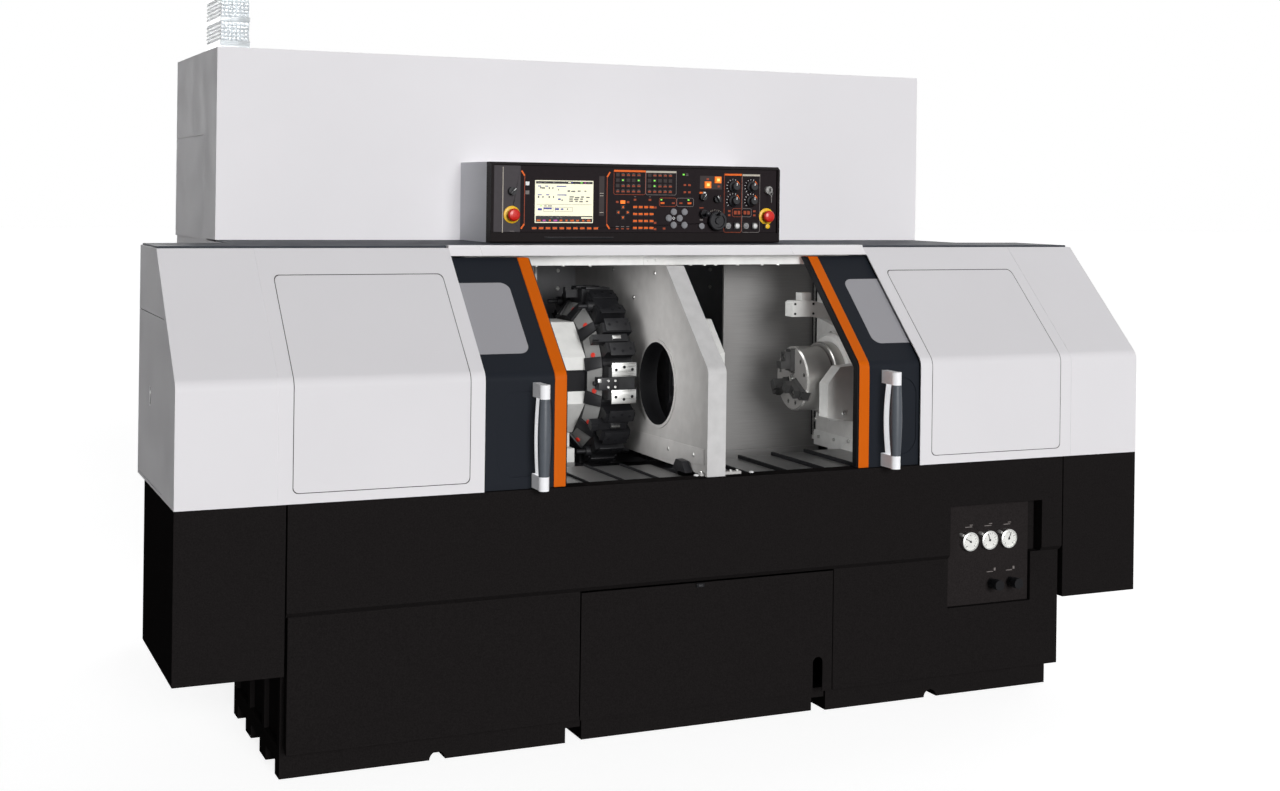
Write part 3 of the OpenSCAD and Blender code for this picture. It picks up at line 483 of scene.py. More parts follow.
def on_band(middle, normal):
    """Picks the bottom of the groove across the housing's front."""
    near = middle.y < TURRET_Y - HOUSING_FLAT + 8
    return 1 if near and abs(middle.z - TURRET_Z) < BAND_HALF + 1 else 0


def on_chuck_face(middle, normal):
    return 1 if abs(normal.x) > 0.9 else 0


def on_bevel(middle, normal):
    """Picks the slanted facets beside the tool blocks."""
    return 1 if 0.4 < abs(normal.x) < 0.9 else 0


for side in ("left", "right"):
    softened(f"{side}_headstock", ["gray_light"], 3.0)
    softened(f"{side}_spindle", ["chuck", "chuck_face"], 1.0, on_chuck_face)
    for i in (1, 2, 3):
        softened(f"{side}_jaw_{i}", ["jaw"], 1.0)
    softened(f"{side}_carriage", ["guard_steel"], 1.0)
    softened(f"{side}_turret_housing", ["housing", "seal"], 1.2, on_band, smooth=False)
    softened(f"{side}_turret_drum", ["drum", "bevel"], 1.5, on_bevel)
    softened(f"{side}_tools", ["tool"], 1.0)

# Controls

BOX_Y = low_high("control_box")[0].y
PANEL_Y = low_high("control_panel")[0].y
BEZEL_BACK = BOX_Y + 46
STRIP_X = -394
KEY_DARK, KEY_PALE, KEY_BLACK, KEY_LIT, KEY_METAL = range(5)
KEY_FINISHES = [
    # x from, x to, z from, z to, finish
    (115, 205, 1484, 1556, KEY_PALE),
    (240, 268, 1484, 1506, KEY_PALE),
    (240, 325, 1520, 1606, KEY_BLACK),
    (-440, -400, 1580, 1630, KEY_BLACK),
    (255, 330, 1610, 1670, KEY_LIT),
    (335, 475, 1480, 1510, KEY_BLACK),
    (485, 525, 1600, 1640, KEY_METAL),
    (485, 525, 1480, 1512, KEY_BLACK),
]


def behind_bezel(middle, normal):
    return 1 if middle.y > BEZEL_BACK else 0


def on_strip(middle, normal):
    return 1 if middle.x < STRIP_X else 0


def key_finish(middle, normal):
    for x0, x1, z0, z1, finish in KEY_FINISHES:
        if x0 < middle.x < x1 and z0 < middle.z < z1:
            return finish
    return KEY_DARK


def on_pointer(middle, normal):
    """Picks the raised line on a knob's front."""
    return 1 if middle.y < POINTER_Y else 0


def gauge_part(middle, normal):
    """Rim, dial and needle of the gauges; body and knob of the regulators."""
    if middle.z < REGULATOR_TOP:
        return 2
    centre = min(GAUGE_X, key=lambda x: abs(x - middle.x))
    if math.hypot(middle.x - centre, middle.z - GAUGE_Z) > DIAL_R or middle.y > DIAL_Y + 0.3:
        return 0
    return 1 if middle.y > DIAL_Y - 0.1 else 2


GAUGE_X, GAUGE_Z, DIAL_R, DIAL_Y = (920, 994, 1068), 504, 25, 7
REGULATOR_X, REGULATOR_TOP = (1012, 1086), 420
POINTER_Y = low_high("feed_knob")[0].y + 0.3
softened("control_box", ["bezel", "box_gray"], 2.0, behind_bezel,
         [((0, BEZEL_BACK, 0), (0, 1, 0))])
softened("control_panel", ["panel", "panel_light"], 1.0, on_strip,
         [((STRIP_X, 0, 0), (1, 0, 0))])
softened("screen", ["screen"], 1.0)
softened("control_keys", ["key_body", "key_gray", "knob", "lit_orange", "ring_steel"], 0.8,
         key_finish)
softened("signal_lamp", ["lens"], 1.0)
softened("gauges", ["bright_steel", "gauge", "seal"], 0.6, gauge_part)
for side in ("left", "right"):
    softened(f"{side}_stop_button", ["stop"], 1.0)
    softened(f"{side}_spindle_knob", ["knob", "white_key"], 0.6, on_pointer)
for node in ("feed_knob", "rapid_knob"):
    softened(node, ["knob", "white_key"], 0.6, on_pointer)
softened("handwheel", ["knob"], 0.8)

# Panel graphics

RIGHT, UP, FRONT = (1, 0, 0), (0, 0, 1), (0, -1, 0)
ORANGE, BROWN, PALE, GRAY, DARK, GREEN, WHITE, LIT, CORE = range(9)
INKS = ["line_orange", "line_brown", "line_pale", "line_gray", "key_body", "led_green", "white_key",
        "lit_orange", "lit_core"]
SUNK = 0.3


class Inlay(Shape):
    """Thin lines and marks, standing just proud of a face that looks to the front."""

    def __init__(self, face_y):
        super().__init__()
        self.face_y = face_y

    def bar(self, x0, z0, x1, z1, mat, proud=0.3):
        self.block((x0, self.face_y - proud, z0), (x1, self.face_y + SUNK, z1), mat)

    def mark(self, x, z, w, h, mat, proud=0.4):
        """A bar about its middle x, z."""
        self.bar(x - w / 2, z - h / 2, x + w / 2, z + h / 2, mat, proud)

    def stroke(self, points, width, mat, proud=0.5):
        """A flat line through points (x, z)."""
        for (x0, z0), (x1, z1) in zip(points, points[1:]):
            length = math.hypot(x1 - x0, z1 - z0)
            dx, dz = (z1 - z0) / length * width / 2, (x0 - x1) / length * width / 2
            quad = [(x0 + dx, z0 + dz), (x0 - dx, z0 - dz), (x1 - dx, z1 - dz), (x1 + dx, z1 + dz)]
            self.plate(quad, RIGHT, UP, (0, self.face_y + SUNK, 0), proud + SUNK, mat)

    def outline(self, x0, z0, x1, z1, width, mat, c=4):
        """A frame with its corners cut by c."""
        self.stroke([
            (x0 + c, z0), (x1 - c, z0), (x1, z0 + c), (x1, z1 - c), (x1 - c, z1), (x0 + c, z1), (x0, z1 - c),
            (x0, z0 + c), (x0 + c, z0)
        ], width, mat)

    def headed(self, x0, z0, x1, z1, head, line):
        """A thin outline under a thick head bar."""
        self.outline(x0, z0, x1, z1, 1.4, line)
        self.bar(x0, z1 - 5.5, x1, z1 + 0.7, head, 0.8)


def around(x, z, radius, degrees):
    a = math.radians(degrees)
    return (x + radius * math.sin(a), z + radius * math.cos(a))


graphics = Inlay(PANEL_Y)
for x, lean in ((-380, -11), (-92, 10)):
    graphics.stroke([(x, 1656), (x, 1498)], 2.2, BROWN)
    for z, tip in ((1655, 1671), (1499, 1484)):
        graphics.stroke([(x, z), (x + lean, tip)], 5.0, ORANGE, 0.7)
graphics.headed(-68, 1598, 46, 1678, ORANGE, BROWN)
graphics.headed(47.5, 1598, 159, 1677, PALE, GRAY)
graphics.headed(339, 1474, 405.5, 1672, ORANGE, BROWN)
graphics.headed(407.5, 1474, 475, 1671, PALE, GRAY)
for x0, x1, line, lamp, lit in ((98, 160, BROWN, 105, 109), (162, 224, GRAY, 205, 209)):
    graphics.outline(x0, 1560, x1, 1588, 1.4, line)
    graphics.mark(lamp, 1582, 6, 4.5, GREEN)
    graphics.mark(lit, 1571, 14, 6, ORANGE)
    graphics.mark(x0 + x1 - lit, 1571, 11, 5, BROWN)
for x0, line in ((371, BROWN), (407.5, GRAY)):
    graphics.outline(x0, 1527, x0 + 35.5, 1555, 1.3, line)
    for x in (x0 + 11, x0 + 25):
        graphics.mark(x, 1541, 10, 12, BROWN)
for x, z in ((359, 1546), (359, 1532), (455, 1546), (455, 1532), (191, 1632), (208, 1632), (191, 1608),
             (208, 1608), (9, 1581), (63, 1581), (83, 1556), (83, 1505), (83, 1484), (-55, 1573), (-16, 1573),
             (276, 1653), (318, 1629), (116, 1486)):
    graphics.mark(x, z, 9, 6.5, BROWN)
for x in (-54, -35, -16):
    graphics.mark(x, 1492, 11, 2, GRAY)
    graphics.mark(x, 1485, 9, 4, BROWN)
graphics.mark(-35.2, 1573, 17, 11, LIT, 1.2)
graphics.mark(186, 1667, 7, 5, GREEN)
for x, z, w in ((199, 1669, 9), (199, 1664, 9), (9, 1591, 6), (63, 1591, 6), (-421, 1476, 15)):
    graphics.mark(x, z, w, 1.6, GRAY)
for x, z, w, h, ink in ((252, 1607, 12, 5, ORANGE), (265, 1607, 9, 5, WHITE), (254, 1556, 16, 3, BROWN),
                        (254, 1516, 12, 5, GRAY)):
    graphics.mark(x, z, w, h, ink)
graphics.bar(247, 1619, 330, 1664, DARK)
for x in (373.3, 441.7):
    for z in (1629, 1581):
        for turn in range(-130, 21, 25):
            graphics.stroke([around(x, z, r, turn) for r in (22, 26.5)], 1.3, WHITE)
        graphics.stroke([around(x, z, 23.5, turn) for turn in range(36, 109, 12)], 4.0, ORANGE)
graphics.stroke([around(308.7, 1587, 17, turn) for turn in range(55, 106, 10)], 3.5, ORANGE)
for turn in range(-40, 150, 12):
    graphics.stroke([around(306.8, 1513, r, turn) for r in (34.5, 38)], 1.3, PALE)
# A pale line down the left edge of the control strip: a painted highlight where light catches that edge.
graphics.stroke([(-454, 1468), (-454, 1682)], 2.4, PALE, 1.2)
graphics.mark(-371, 1630, 13, 12, WHITE, 2.5)
graphics.mark(-371, 1601, 13, 12, GRAY, 2.5)
graphics.bar(-120, 1527, -102, 1657, DARK)
for z in (1601, 1593, 1538):
    graphics.mark(-111, z, 13, 1.6, PALE, 0.6)
diamond = [around(151, 1520.5, 4.5, turn) for turn in (0, 90, 180, 270, 360)]
graphics.stroke(diamond, 1.5, WHITE)
graphics.done("panel_graphics", "frame", "key_plastic", INKS)

KEY_Y, LIT_KEY_Y = PANEL_Y - 3, PANEL_Y - 8
legends = Inlay(KEY_Y)
for g, lamps in ((0, ((1, 2), (4, 2))), (1, ((1, 2), (1, 1)))):
    for i in range(5):
        for j in range(4):
            x, z = -55.15 + 114.95 * g + 19 * i, 1609 + 18 * j
            if (i, j) in lamps:
                legends.mark(x - 1, z, 6, 4.5, GREEN)
            elif j != 2 and (i > 0 or j == 0):
                legends.mark(x, z - 1, 11, 4.5, BROWN)
                legends.mark(x, z + 4, 5, 1.2, GRAY)
for i in range(4):
    for j in range(4):
        legends.mark(8.5 + 19.95 * i, 1488 + 23 * j, 14.6, 6.5, ORANGE)
for i in range(10):
    legends.mark(-346.8 + 23.94 * i, 1486, 15.5, 6, ORANGE)
for dx, dz in ((0, 1), (1, 0), (0, -1), (-1, 0)):
    x, z = -35.2 + 17.1 * dx, 1539 + 17 * dz
    tip = [(x + 5 * dx, z + 5 * dz), (x - 3 * dx - 4.5 * dz, z - 3 * dz + 4.5 * dx),
           (x - 3 * dx + 4.5 * dz, z - 3 * dz - 4.5 * dx)]
    legends.plate(tip[::-1], RIGHT, UP, (0, KEY_Y + SUNK, 0), 0.7, ORANGE)
legends.face_y = LIT_KEY_Y
for x, z in ((312.5, 1651), (274.5, 1634)):
    legends.mark(x, z, 10, 9, CORE)
legends.done("key_legends", "frame", "key_plastic", INKS)

# Screen picture: title and key bars, readings and input fields

BAR, TEXT, BLUE, PINK, LAMP, BLANK, KEY = range(7)
screen_low, screen_high = low_high("screen")
display = Inlay(screen_low.y)
left, right = screen_low.x + 3, screen_high.x - 3
low, high = screen_low.z + 3, screen_high.z - 3
READINGS = {
    # from the left, below the top, width, height
    TEXT: [(16, 21, 5, 5), (25, 22, 12, 5), (46, 22, 4, 6), (58, 22, 4, 6), (78, 27, 3, 5), (114, 31, 9, 5),
           (129, 32, 14, 4), (150, 31, 10, 4), (172, 31, 7, 3), (9, 51, 5, 7), (24, 51, 4, 6),
           (46, 51, 5, 6), (61, 51, 4, 6), (124, 50, 14, 4), (143, 52, 16, 4), (162, 50, 10, 4),
           (181, 51, 12, 4), (91, 61, 6, 4), (122, 57, 12, 4), (140, 58, 14, 4), (159, 57, 9, 4),
           (122, 64, 13, 4), (141, 64, 9, 4), (157, 65, 12, 4), (178, 64, 8, 4), (33, 80, 8, 3),
           (49, 80, 14, 3), (110, 90, 4, 5)],
    BLUE: [(12, 16, 11, 3), (37, 16, 10, 3), (88, 16, 34, 3), (13, 44, 14, 3), (40, 44, 11, 3),
           (90, 44, 32, 3), (81, 58, 9, 5), (14, 91, 14, 7), (41, 88, 28, 5), (74, 90, 13, 6),
           (91, 90, 9, 5)],
    LAMP: [(18, 80, 5, 3)],
}
display.bar(left, high - 8, right, high, BAR)
display.bar(left, low, right, low + 20, BAR)
for x, w, ink in ((12, 14, TEXT), (31, 8, TEXT), (62, 8, TEXT), (116, 9, BLANK), (125, 5, BLUE),
                  (158, 7, LAMP), (171, 5, PINK), (184, 8, TEXT)):
    display.mark(left + x, high - 4, w, 3, ink, 0.5)
for ink, spots in READINGS.items():
    for x, below, w, h in spots:
        display.mark(left + x, high - below, w, h, ink, 0.35)
display.stroke([(left + 2, high - 75), (right - 2, high - 75)], 1.0, TEXT, 0.35)
for x0, x1 in ((27, 60), (67, 127)):
    frame_line = [(left + x, high - z) for x, z in ((x0, 84), (x1, 84), (x1, 98), (x0, 98), (x0, 84))]
    display.stroke(frame_line, 0.9, TEXT, 0.35)
for i in range(10):
    ink = PINK if i in (1, 3) else KEY
    display.mark(left + 10 + 19.4 * i, low + 5, 13 - 3 * (i % 3), 5, ink, 0.5)
display.mark(right - 20, low + 14, 38, 5, BLANK, 0.5)
for x in (54, 76, 88):
    display.mark(left + x, low + 14, 8, 2.5, TEXT, 0.5)
display.done("screen_picture", "frame", "screen_glass", [
    "screen_dark", "screen_line", "screen_blue", "screen_pink", "led_green", "screen", "line_orange"
])

# Rings, switch grips, joystick and key

YELLOW, KNOB, CAP, RING, KEY_GRAY = range(5)
STOP_Z = 1529
controls = Shape()
for x in (-422.8, 500.6):
    plate = [(12, 0), (28, 0), (28, 1.6), (26.5, 2.6), (12, 2.6), (12, 0)]
    controls.turned((x, PANEL_Y + 0.2, STOP_Z), FRONT, plate, YELLOW, 40)
for x, z, turn in ((255.5, 1593, 25), (308.7, 1587, -30), (-424.7, 1605, 40)):
    spin = Matrix.Translation((x, PANEL_Y - 16, z)) @ Matrix.Rotation(math.radians(turn), 4, "Y")
    controls.block((-3.5, -9, -12), (3.5, 0.5, 12), KNOB, 1.2, spin)
    controls.block((-0.9, -9.4, 2), (0.9, -8, 11.5), CAP, 0.0, spin)
controls.turned((257.4, PANEL_Y - 19.7, 1537), FRONT, [
    (12, 0), (9, 3), (7, 7), (4, 9), (3.4, 15), (5, 17), (8, 21), (9, 25), (8, 29), (5, 32), (0, 33)
], KNOB, 28)
for i in range(4):
    spot = Vector((352.4 + 34 * i, PANEL_Y - 6.8, 1496))
    controls.turned(spot, FRONT, [(10, 0), (10, 1.6), (9, 2.6), (7.4, 2.6), (7, 1.4), (0, 1.4)], RING, 28)
    button = [(6.8, 0), (6.8, 2.2), (5.4, 3.2), (0, 3.4)]
    controls.turned(spot + Vector((0, -1.2, 0)), FRONT, button, CAP if i % 2 else KEY_GRAY, 24)
for x, z in ((150, 1542), (190, 1542), (150, 1498), (190, 1498), (132, 1521), (171.9, 1521)):
    controls.turned((x, PANEL_Y - 3.8, z), FRONT, [(8.4, 0), (8.4, 1.4), (7.4, 2.2), (0, 1.6)], KEY_GRAY, 24)
button = [(8.5, 0), (8.5, 2.6), (7, 4.4), (3, 5.4), (0, 5.6)]
controls.turned((502.5, PANEL_Y - 6.8, 1495), FRONT, button, YELLOW, 28)
lock = [(9, 0), (9, 1), (8, 1.6), (5.5, 1.6), (5, 0.6), (0, 0.6)]
at_lock = Vector((504.4, PANEL_Y, 1619))
controls.turned(at_lock + Vector((0, -13.8, 0)), FRONT, lock, RING, 28)
controls.block(at_lock + Vector((-0.8, -30, -7)), at_lock + Vector((0.8, -14, 7)), RING, 0.6)
turns = [2 * math.pi * i / 20 for i in range(21)]
loop = [at_lock + Vector((4 * math.sin(a), -27 - 5 * math.sin(a), -11 + 6 * math.cos(a))) for a in turns]
for p, q in zip(loop, loop[1:]):
    controls.rod(p, q, 0.8, RING, 8)
controls.block(at_lock + Vector((-1.2, -32, -43)), at_lock + Vector((0.2, -26, -16)), RING, 0.5)
controls.done("switch_parts", "frame", "control_plastic",
              ["yellow", "knob", "white_key", "ring_steel", "key_gray"])

lip = Shape()
lip.block((-308, BOX_Y - 0.4, 1450.5), (-72, BOX_Y + 0.5, 1456.5), 0, 0.4)
lip.block((-312, BOX_Y - 0.8, 1456.5), (-68, BOX_Y + 0.5, 1458), 1, 0.3)
lip.done("lip_slot", "frame", "control_plastic", ["seal", "panel_light"])

# Signal lamp: raised prisms on the four sides of each tier

lamp_low, lamp_high = low_high("signal_lamp")
LAMP_PLINTH, LAMP_CAP, LAMP_BAND, LAMP_TIERS, LAMP_INSET = 22, 16, 14, 3, 3


def prisms(shape, origin, across, width, height, cell, depth):
    """A field of low pyramids on an upright face."""
    origin, across, up = Vector(origin), Vector(across), Vector(UP)
    out = across.cross(up)
    n, m = round(width / cell), round(height / cell)
    w, h = width / n, height / m
    for i in range(n):
        for j in range(m):
            corner = origin + across * (w * i) + up * (h * j)
            base = [corner, corner + across * w, corner + across * w + up * h, corner + up * h]
            tip = shape.bm.verts.new(corner + across * (w / 2) + up * (h / 2) + out * depth)
            rim = [shape.bm.verts.new(p) for p in base]
            for a, b in zip(rim, rim[1:] + rim[:1]):
                shape.bm.faces.new((a, b, tip))


lens = Shape()
tier_h = (lamp_high.z - lamp_low.z - LAMP_PLINTH - LAMP_CAP) / LAMP_TIERS
x0, x1 = lamp_low.x + LAMP_INSET, lamp_high.x - LAMP_INSET
y0, y1 = lamp_low.y + LAMP_INSET, lamp_high.y - LAMP_INSET
for i in range(LAMP_TIERS):
    z = lamp_low.z + LAMP_PLINTH + i * tier_h
    for origin, across, width in (
        ((x0, y0, z), (1, 0, 0), x1 - x0), ((x1, y1, z), (-1, 0, 0), x1 - x0),
        ((x0, y1, z), (0, -1, 0), y1 - y0), ((x1, y0, z), (0, 1, 0), y1 - y0)
    ):
        prisms(lens, origin, across, width, tier_h - LAMP_BAND, 12, 2.6)
lens.done("lamp_prisms", "frame", "lens", ["lens"], angle=5)

# Gauge scales, adjusters and label strokes

POINTER, STEM, LABEL = range(3)
PLATE_Y = 25
scales = Inlay(DIAL_Y)
for x in GAUGE_X:
    for i in range(13):
        inner, width = (18, 1.6) if i % 3 == 0 else (20, 0.9)
        spots = [around(x, GAUGE_Z, r, -135 + 22.5 * i) for r in (inner, 23.5)]
        scales.stroke(spots, width, POINTER, 0.3)
    hub = [(3.5, 0), (3.5, 2.2), (2.4, 2.8), (0, 2.8)]
    scales.turned((x, DIAL_Y + 0.2, GAUGE_Z), FRONT, hub, POINTER, 20)
    stem = [(6, 0), (6, 9), (4.5, 12), (4.5, 17), (3, 18), (0, 18)]
    scales.turned((x - 27, PLATE_Y - 0.2, GAUGE_Z + 21), FRONT, stem, STEM, 20)
scales.face_y = PLATE_Y
for x in GAUGE_X:
    scales.mark(x + 4, GAUGE_Z + 43, 26, 2.4, LABEL)
    scales.mark(x + 14, GAUGE_Z + 49, 12, 2.4, LABEL)
for x in REGULATOR_X:
    scales.mark(x - 4, 398, 24, 2.4, LABEL)
    scales.mark(x + 14, 405, 7, 9, LABEL)
scales.done("gauge_scales", "frame", "gauge_metal", ["knob", "ring_steel", "line_gray"])

# Screws, wipers and trim in the work chambers

SOCKET = [(1.0, 0.0), (1.0, 0.62), (0.86, 0.8), (0.52, 0.8), (0.46, 0.34), (0.0, 0.34)]
DOME = [(1.0, 0.0), (1.0, 0.2), (0.86, 0.46), (0.55, 0.62), (0.0, 0.7)]


def fasteners(shape, spots, axis, radius, profile=SOCKET, mat=0):
    for spot in spots:
        shape.turned(spot, axis, [(r * radius, h * radius) for r, h in profile], mat, 16)


MID_X = 15
SILL_Z = BEND_Z - 327
WEB, BOLT, RIM = range(3)
walls = Shape()
WEB_HALF, KICK_T, BITE = 26.5, 1.7, 0.2
face_left, face_right = MID_X - WEB_HALF, MID_X + WEB_HALF
kick = [(48, 838), (860, 822), (860, SILL_Z + 2), (460, SILL_Z + 2), (48, 791)]
walls.plate(kick, (0, 1, 0), UP, (face_right - BITE, 0, 0), KICK_T, WEB, 0.4)
walls.plate(kick, (0, 1, 0), UP, (face_left + BITE - KICK_T, 0, 0), KICK_T, WEB, 0.4)
spots = [(420, 1349), (584, 1262), (760, 1345), (960, 1345), (1040, 1180), (1040, 860), (300, 806),
         (120, 812)]
fasteners(walls, [(face_left + 0.3, y, z) for y, z in spots], (-1, 0, 0), 7, DOME, BOLT)
fasteners(walls, [(face_right - 0.3, y, z) for y, z in spots], (1, 0, 0), 7, DOME, BOLT)
for x, axis in ((face_left + BITE, (-1, 0, 0)), (face_right - BITE, (1, 0, 0))):
    rim = [(0.5, 0), (5, 0), (5, 1.2), (4, 2), (1.5, 2), (0.5, 0)]
    walls.turned((x, AXIS_Y, AXIS_Z), axis, [(HOLE_R + r, h) for r, h in rim], RIM, 96)
walls.done("divider_fittings", "frame", "gray_paint", ["gray_mid", "bright_steel", "flange"])

STEEL, PAINT, WHITE_CAP, BLACK_CAP, RUBBER = range(5)
WALL_U, STRIP_LOW, STRIP_HIGH = 672, 775, 1340
chamber = Shape()
for sign in (-1, 1):
    x = MID_X + sign * WALL_U
    spots = [(560, 1290), (500, 1135), (400, 1170), (290, 1130), (600, 1060), (600, 940), (600, 830),
             (500, 845), (270, 830), (700, 1290), (700, 830), (900, 1290), (900, 830)]
    fasteners(chamber, [(x + 0.3 * sign, y, z) for y, z in spots], (-sign, 0, 0), 7)
    spots = [(568, 775), (467, 778), (370, 786), (250, 786), (130, 786)]
    fasteners(chamber, [(x - 3.8 * sign, y, z) for y, z in spots], (-sign, 0, 0), 6)
    strip_x = sorted((x - sign * 3, x + sign * 0.3))
    for y0, y1, finish in ((599, 606, RUBBER), (606, 619, STEEL), (619, 626, RUBBER)):
        chamber.block((strip_x[0], y0, STRIP_LOW), (strip_x[1], y1, STRIP_HIGH), finish, 0.6)
spots = [(x, 1100.3, z) for x in range(-560, 640, 120) for z in (1325, 1262) if abs(x - MID_X) > 40]
fasteners(chamber, spots, FRONT, 7)
spots = [(x, 413, 1376.3) for x in (-420, -330, -240, 110, 160, 200, 280, 370, 430)]
fasteners(chamber, spots, (0, 0, -1), 6)
fasteners(chamber, [(x, 54, 767.7) for x in (-18, 58, 80, 102)], UP, 5.5)
fasteners(chamber, [(-34, 55, 759.7), (151, 55, 759.7)], UP, 8, DOME, WHITE_CAP)
spots = [(x, 366.3, z) for x in (538, 470) for z in (1214, 1246)]
fasteners(chamber, spots, FRONT, 4, SOCKET, BLACK_CAP)
fasteners(chamber, [(640, 203.3, 905), (640, 203.3, 1035), (560, 203.3, 905)], FRONT, 6)
WAY_START, WAY_PITCH, WAY_LAP, WAY_LOW, WAY_RISE = 42.5, 122, 12, 738, 4
for sign in (-1, 1):
    for i in range(1, 5):
        u = WAY_START + i * WAY_PITCH - WAY_LAP
        low = WAY_LOW + i * WAY_RISE
        x0, x1 = sorted((MID_X + sign * (u - (5 if sign < 0 else 9)), MID_X + sign * (u + 1)))
        chamber.block((x0, 67, low - 0.2), (x1, 396, low + 11), RUBBER, 1.5)
    foot = [(0.2, 742), (0.2, 796), (4, 796), (4, 776), (19, 759.5), (19, 757)]
    outline_xz = [(MID_X + sign * (WALL_U - u), z) for u, z in foot]
    chamber.plate(outline_xz[::sign], RIGHT, UP, (0, 398, 0), 330, PAINT, 0.5)
    flange_x = sorted((MID_X + sign * (WALL_U - 4), MID_X + sign * (WALL_U + 0.2)))
    chamber.block((flange_x[0], 398, 745), (flange_x[1], 604, 796), PAINT, 0.8)
wedge = [(120, 758), (216, 758), (190, 792), (146, 790)]
chamber.plate(wedge, (0, 1, 0), UP, (-40, 0, 0), 24, BLACK_CAP, 1.5)
chamber.done("chamber_screws", "frame", "way_steel",
             ["bright_steel", "gray_light", "white_key", "knob", "seal"])

# Clamps on the turrets and bolts in the chucks


def from_axis(angle):
    """Unit vectors away from an axis along x, at an angle from straight down, and along the turn."""
    return Vector((0, math.sin(angle), -math.cos(angle))), Vector((0, math.cos(angle), math.sin(angle)))


def pad(u, v):
    """Outline of a plate that reaches u and v to each side."""
    return [(-u, -v), (u, -v), (u, v), (-u, v)]


BRIGHT, BLACK, HEAD, RED = range(4)
STATIONS, BLOCK_TOP, DRUM_L, BEVEL_L, DRUM_FLAT, BEVEL_DROP = 12, 286, 104, 34, 238, 42
DRUM_U = {"left": 77, "right": 57}
SHOWN = (3, 9)  # stations with bright bars and a clamp block
for side, sign in (("left", -1), ("right", 1)):
    clamps = Shape()
    axis = Vector((MID_X + sign * DRUM_U[side], TURRET_Y, TURRET_Z))
    along = Vector((sign, 0, 0))
    for i in range(STATIONS):
        a = 2 * math.pi * i / STATIONS
        out, tangent = from_axis(a)
        bar = BRIGHT if i in SHOWN else BLACK
        for k in (-1, 1):
            middle = axis + along * 50 + out * (BLOCK_TOP - 0.3) + tangent * 43 * k
            clamps.plate(pad(42, 22), (-1, 0, 0), tangent, middle, 5.3, bar, 1.2)
            for u, v in ((-28, 0), (0, 8), (28, 0)):
                spot = middle + along * u + tangent * v * k + out * 5.2
                clamps.turned(spot, out, [(5, 0), (5, 0.5), (4.4, 0.8), (0, 0.8)], HEAD, 14)
        if i % 2 == 0:
            pin = axis + along * 60 + out * (BLOCK_TOP - 4.3)
            clamps.plate(pad(15, 6), (-1, 0, 0), tangent, pin, 7, BRIGHT, 2.0)
        if i in SHOWN:
            place = Matrix.Translation(axis) @ Matrix((along, tangent, out)).transposed().to_4x4()
            clamps.block((70, -20, BLOCK_TOP - 24), (140, 20, BLOCK_TOP + 12), BLACK, 2.0, place)
            spots = [place @ Vector((u, v, BLOCK_TOP + 11.8)) for u in (84, 108) for v in (-10, 10)]
            fasteners(clamps, spots, out, 4)
            clamps.block((132, -17, BLOCK_TOP + 11), (144, -5, BLOCK_TOP + 16), BRIGHT, 1.0, place)
        edge_out, edge_along = from_axis(a + math.pi / STATIONS)
        corner = DRUM_FLAT / math.cos(math.pi / STATIONS)
        start = axis + along * (DRUM_L - 4) + edge_out * (corner - 3)
        run = along * (BEVEL_L + 6) - edge_out * (BEVEL_DROP + 8)
        web = [(-17, 0), (17, 0), (22, run.length), (-22, run.length)]
        clamps.plate(web, edge_along, run, start, 9 * sign, BLACK, 1.5)
        slant = (along * BEVEL_DROP + out * BEVEL_L).normalized()
        plug = axis + along * (DRUM_L + BEVEL_L / 2) + out * (DRUM_FLAT - BEVEL_DROP / 2) - slant * 0.3
        clamps.turned(plug + tangent * 30, slant, [(8, 0), (8, 3.4), (6.4, 4.6), (0, 4.6)], RED, 20)
    clamps.done(f"{side}_turret_clamps", f"{side}_turret", "tool_steel",
                ["bright_steel", "tool", "seal", "red_plug"])

CHUCK_FACE_U, BOLT_RING, JAW_BOLT = 460, 81, 74
for side, sign in (("left", -1), ("right", 1)):
    face = Vector((MID_X + sign * CHUCK_FACE_U, AXIS_Y, AXIS_Z))
    inward = Vector((-sign, 0, 0))
    bolts = Shape()
    for i, jaw in enumerate((180, 300, 60)):
        for turn in (43, 77):
            spot = face + BOLT_RING * from_axis(math.radians(jaw + turn))[0] - inward * 12.3
            fasteners(bolts, [spot], inward, 6.4)
        spot = face + JAW_BOLT * from_axis(math.radians(jaw))[0] + inward * 23.7
        grip = Shape()
        fasteners(grip, [spot], inward, 7.2)
        grip.done(f"{side}_jaw_{i + 1}_bolt", f"{side}_jaw_{i + 1}", "jaw_steel", ["bright_steel"])
    bolts.turned(face - inward * 6.3, inward, [(14, 0), (14, 3), (12, 4.4), (5, 4.4), (4, 2), (0, 2)], 1, 28)
    bolts.done(f"{side}_chuck_bolts", f"{side}_spindle", "chuck_steel", ["knob", "bright_steel"])

# Painted seam shadows round the front covers, and seals along the folded front

FOLD_R = 48
FOLD = math.pi / 2 - LEAN


def front_line(inset, z0, z1):
    """The folded front in (y, z), inset behind the covers' outer skin."""
    start = BEND_Z - FOLD_R * math.tan(FOLD / 2)
    reach = FOLD_R - inset
    turns = [FOLD * i / 8 for i in range(9)]
    arc = [(FOLD_R - reach * math.cos(t), start + reach * math.sin(t)) for t in turns]
    return [(inset, z0), *arc, ((inset + (z1 - BEND_Z) * math.cos(LEAN)) / math.sin(LEAN), z1)]


def skin_y(z, inset):
    """Depth of the folded front at a height."""
    line = front_line(inset, SILL_Z, ROOF_Z)
    for (y0, z0), (y1, z1) in zip(line, line[1:]):
        if z <= z1:
            return y0 + (y1 - y0) * (z - z0) / (z1 - z0)
    return line[-1][0]


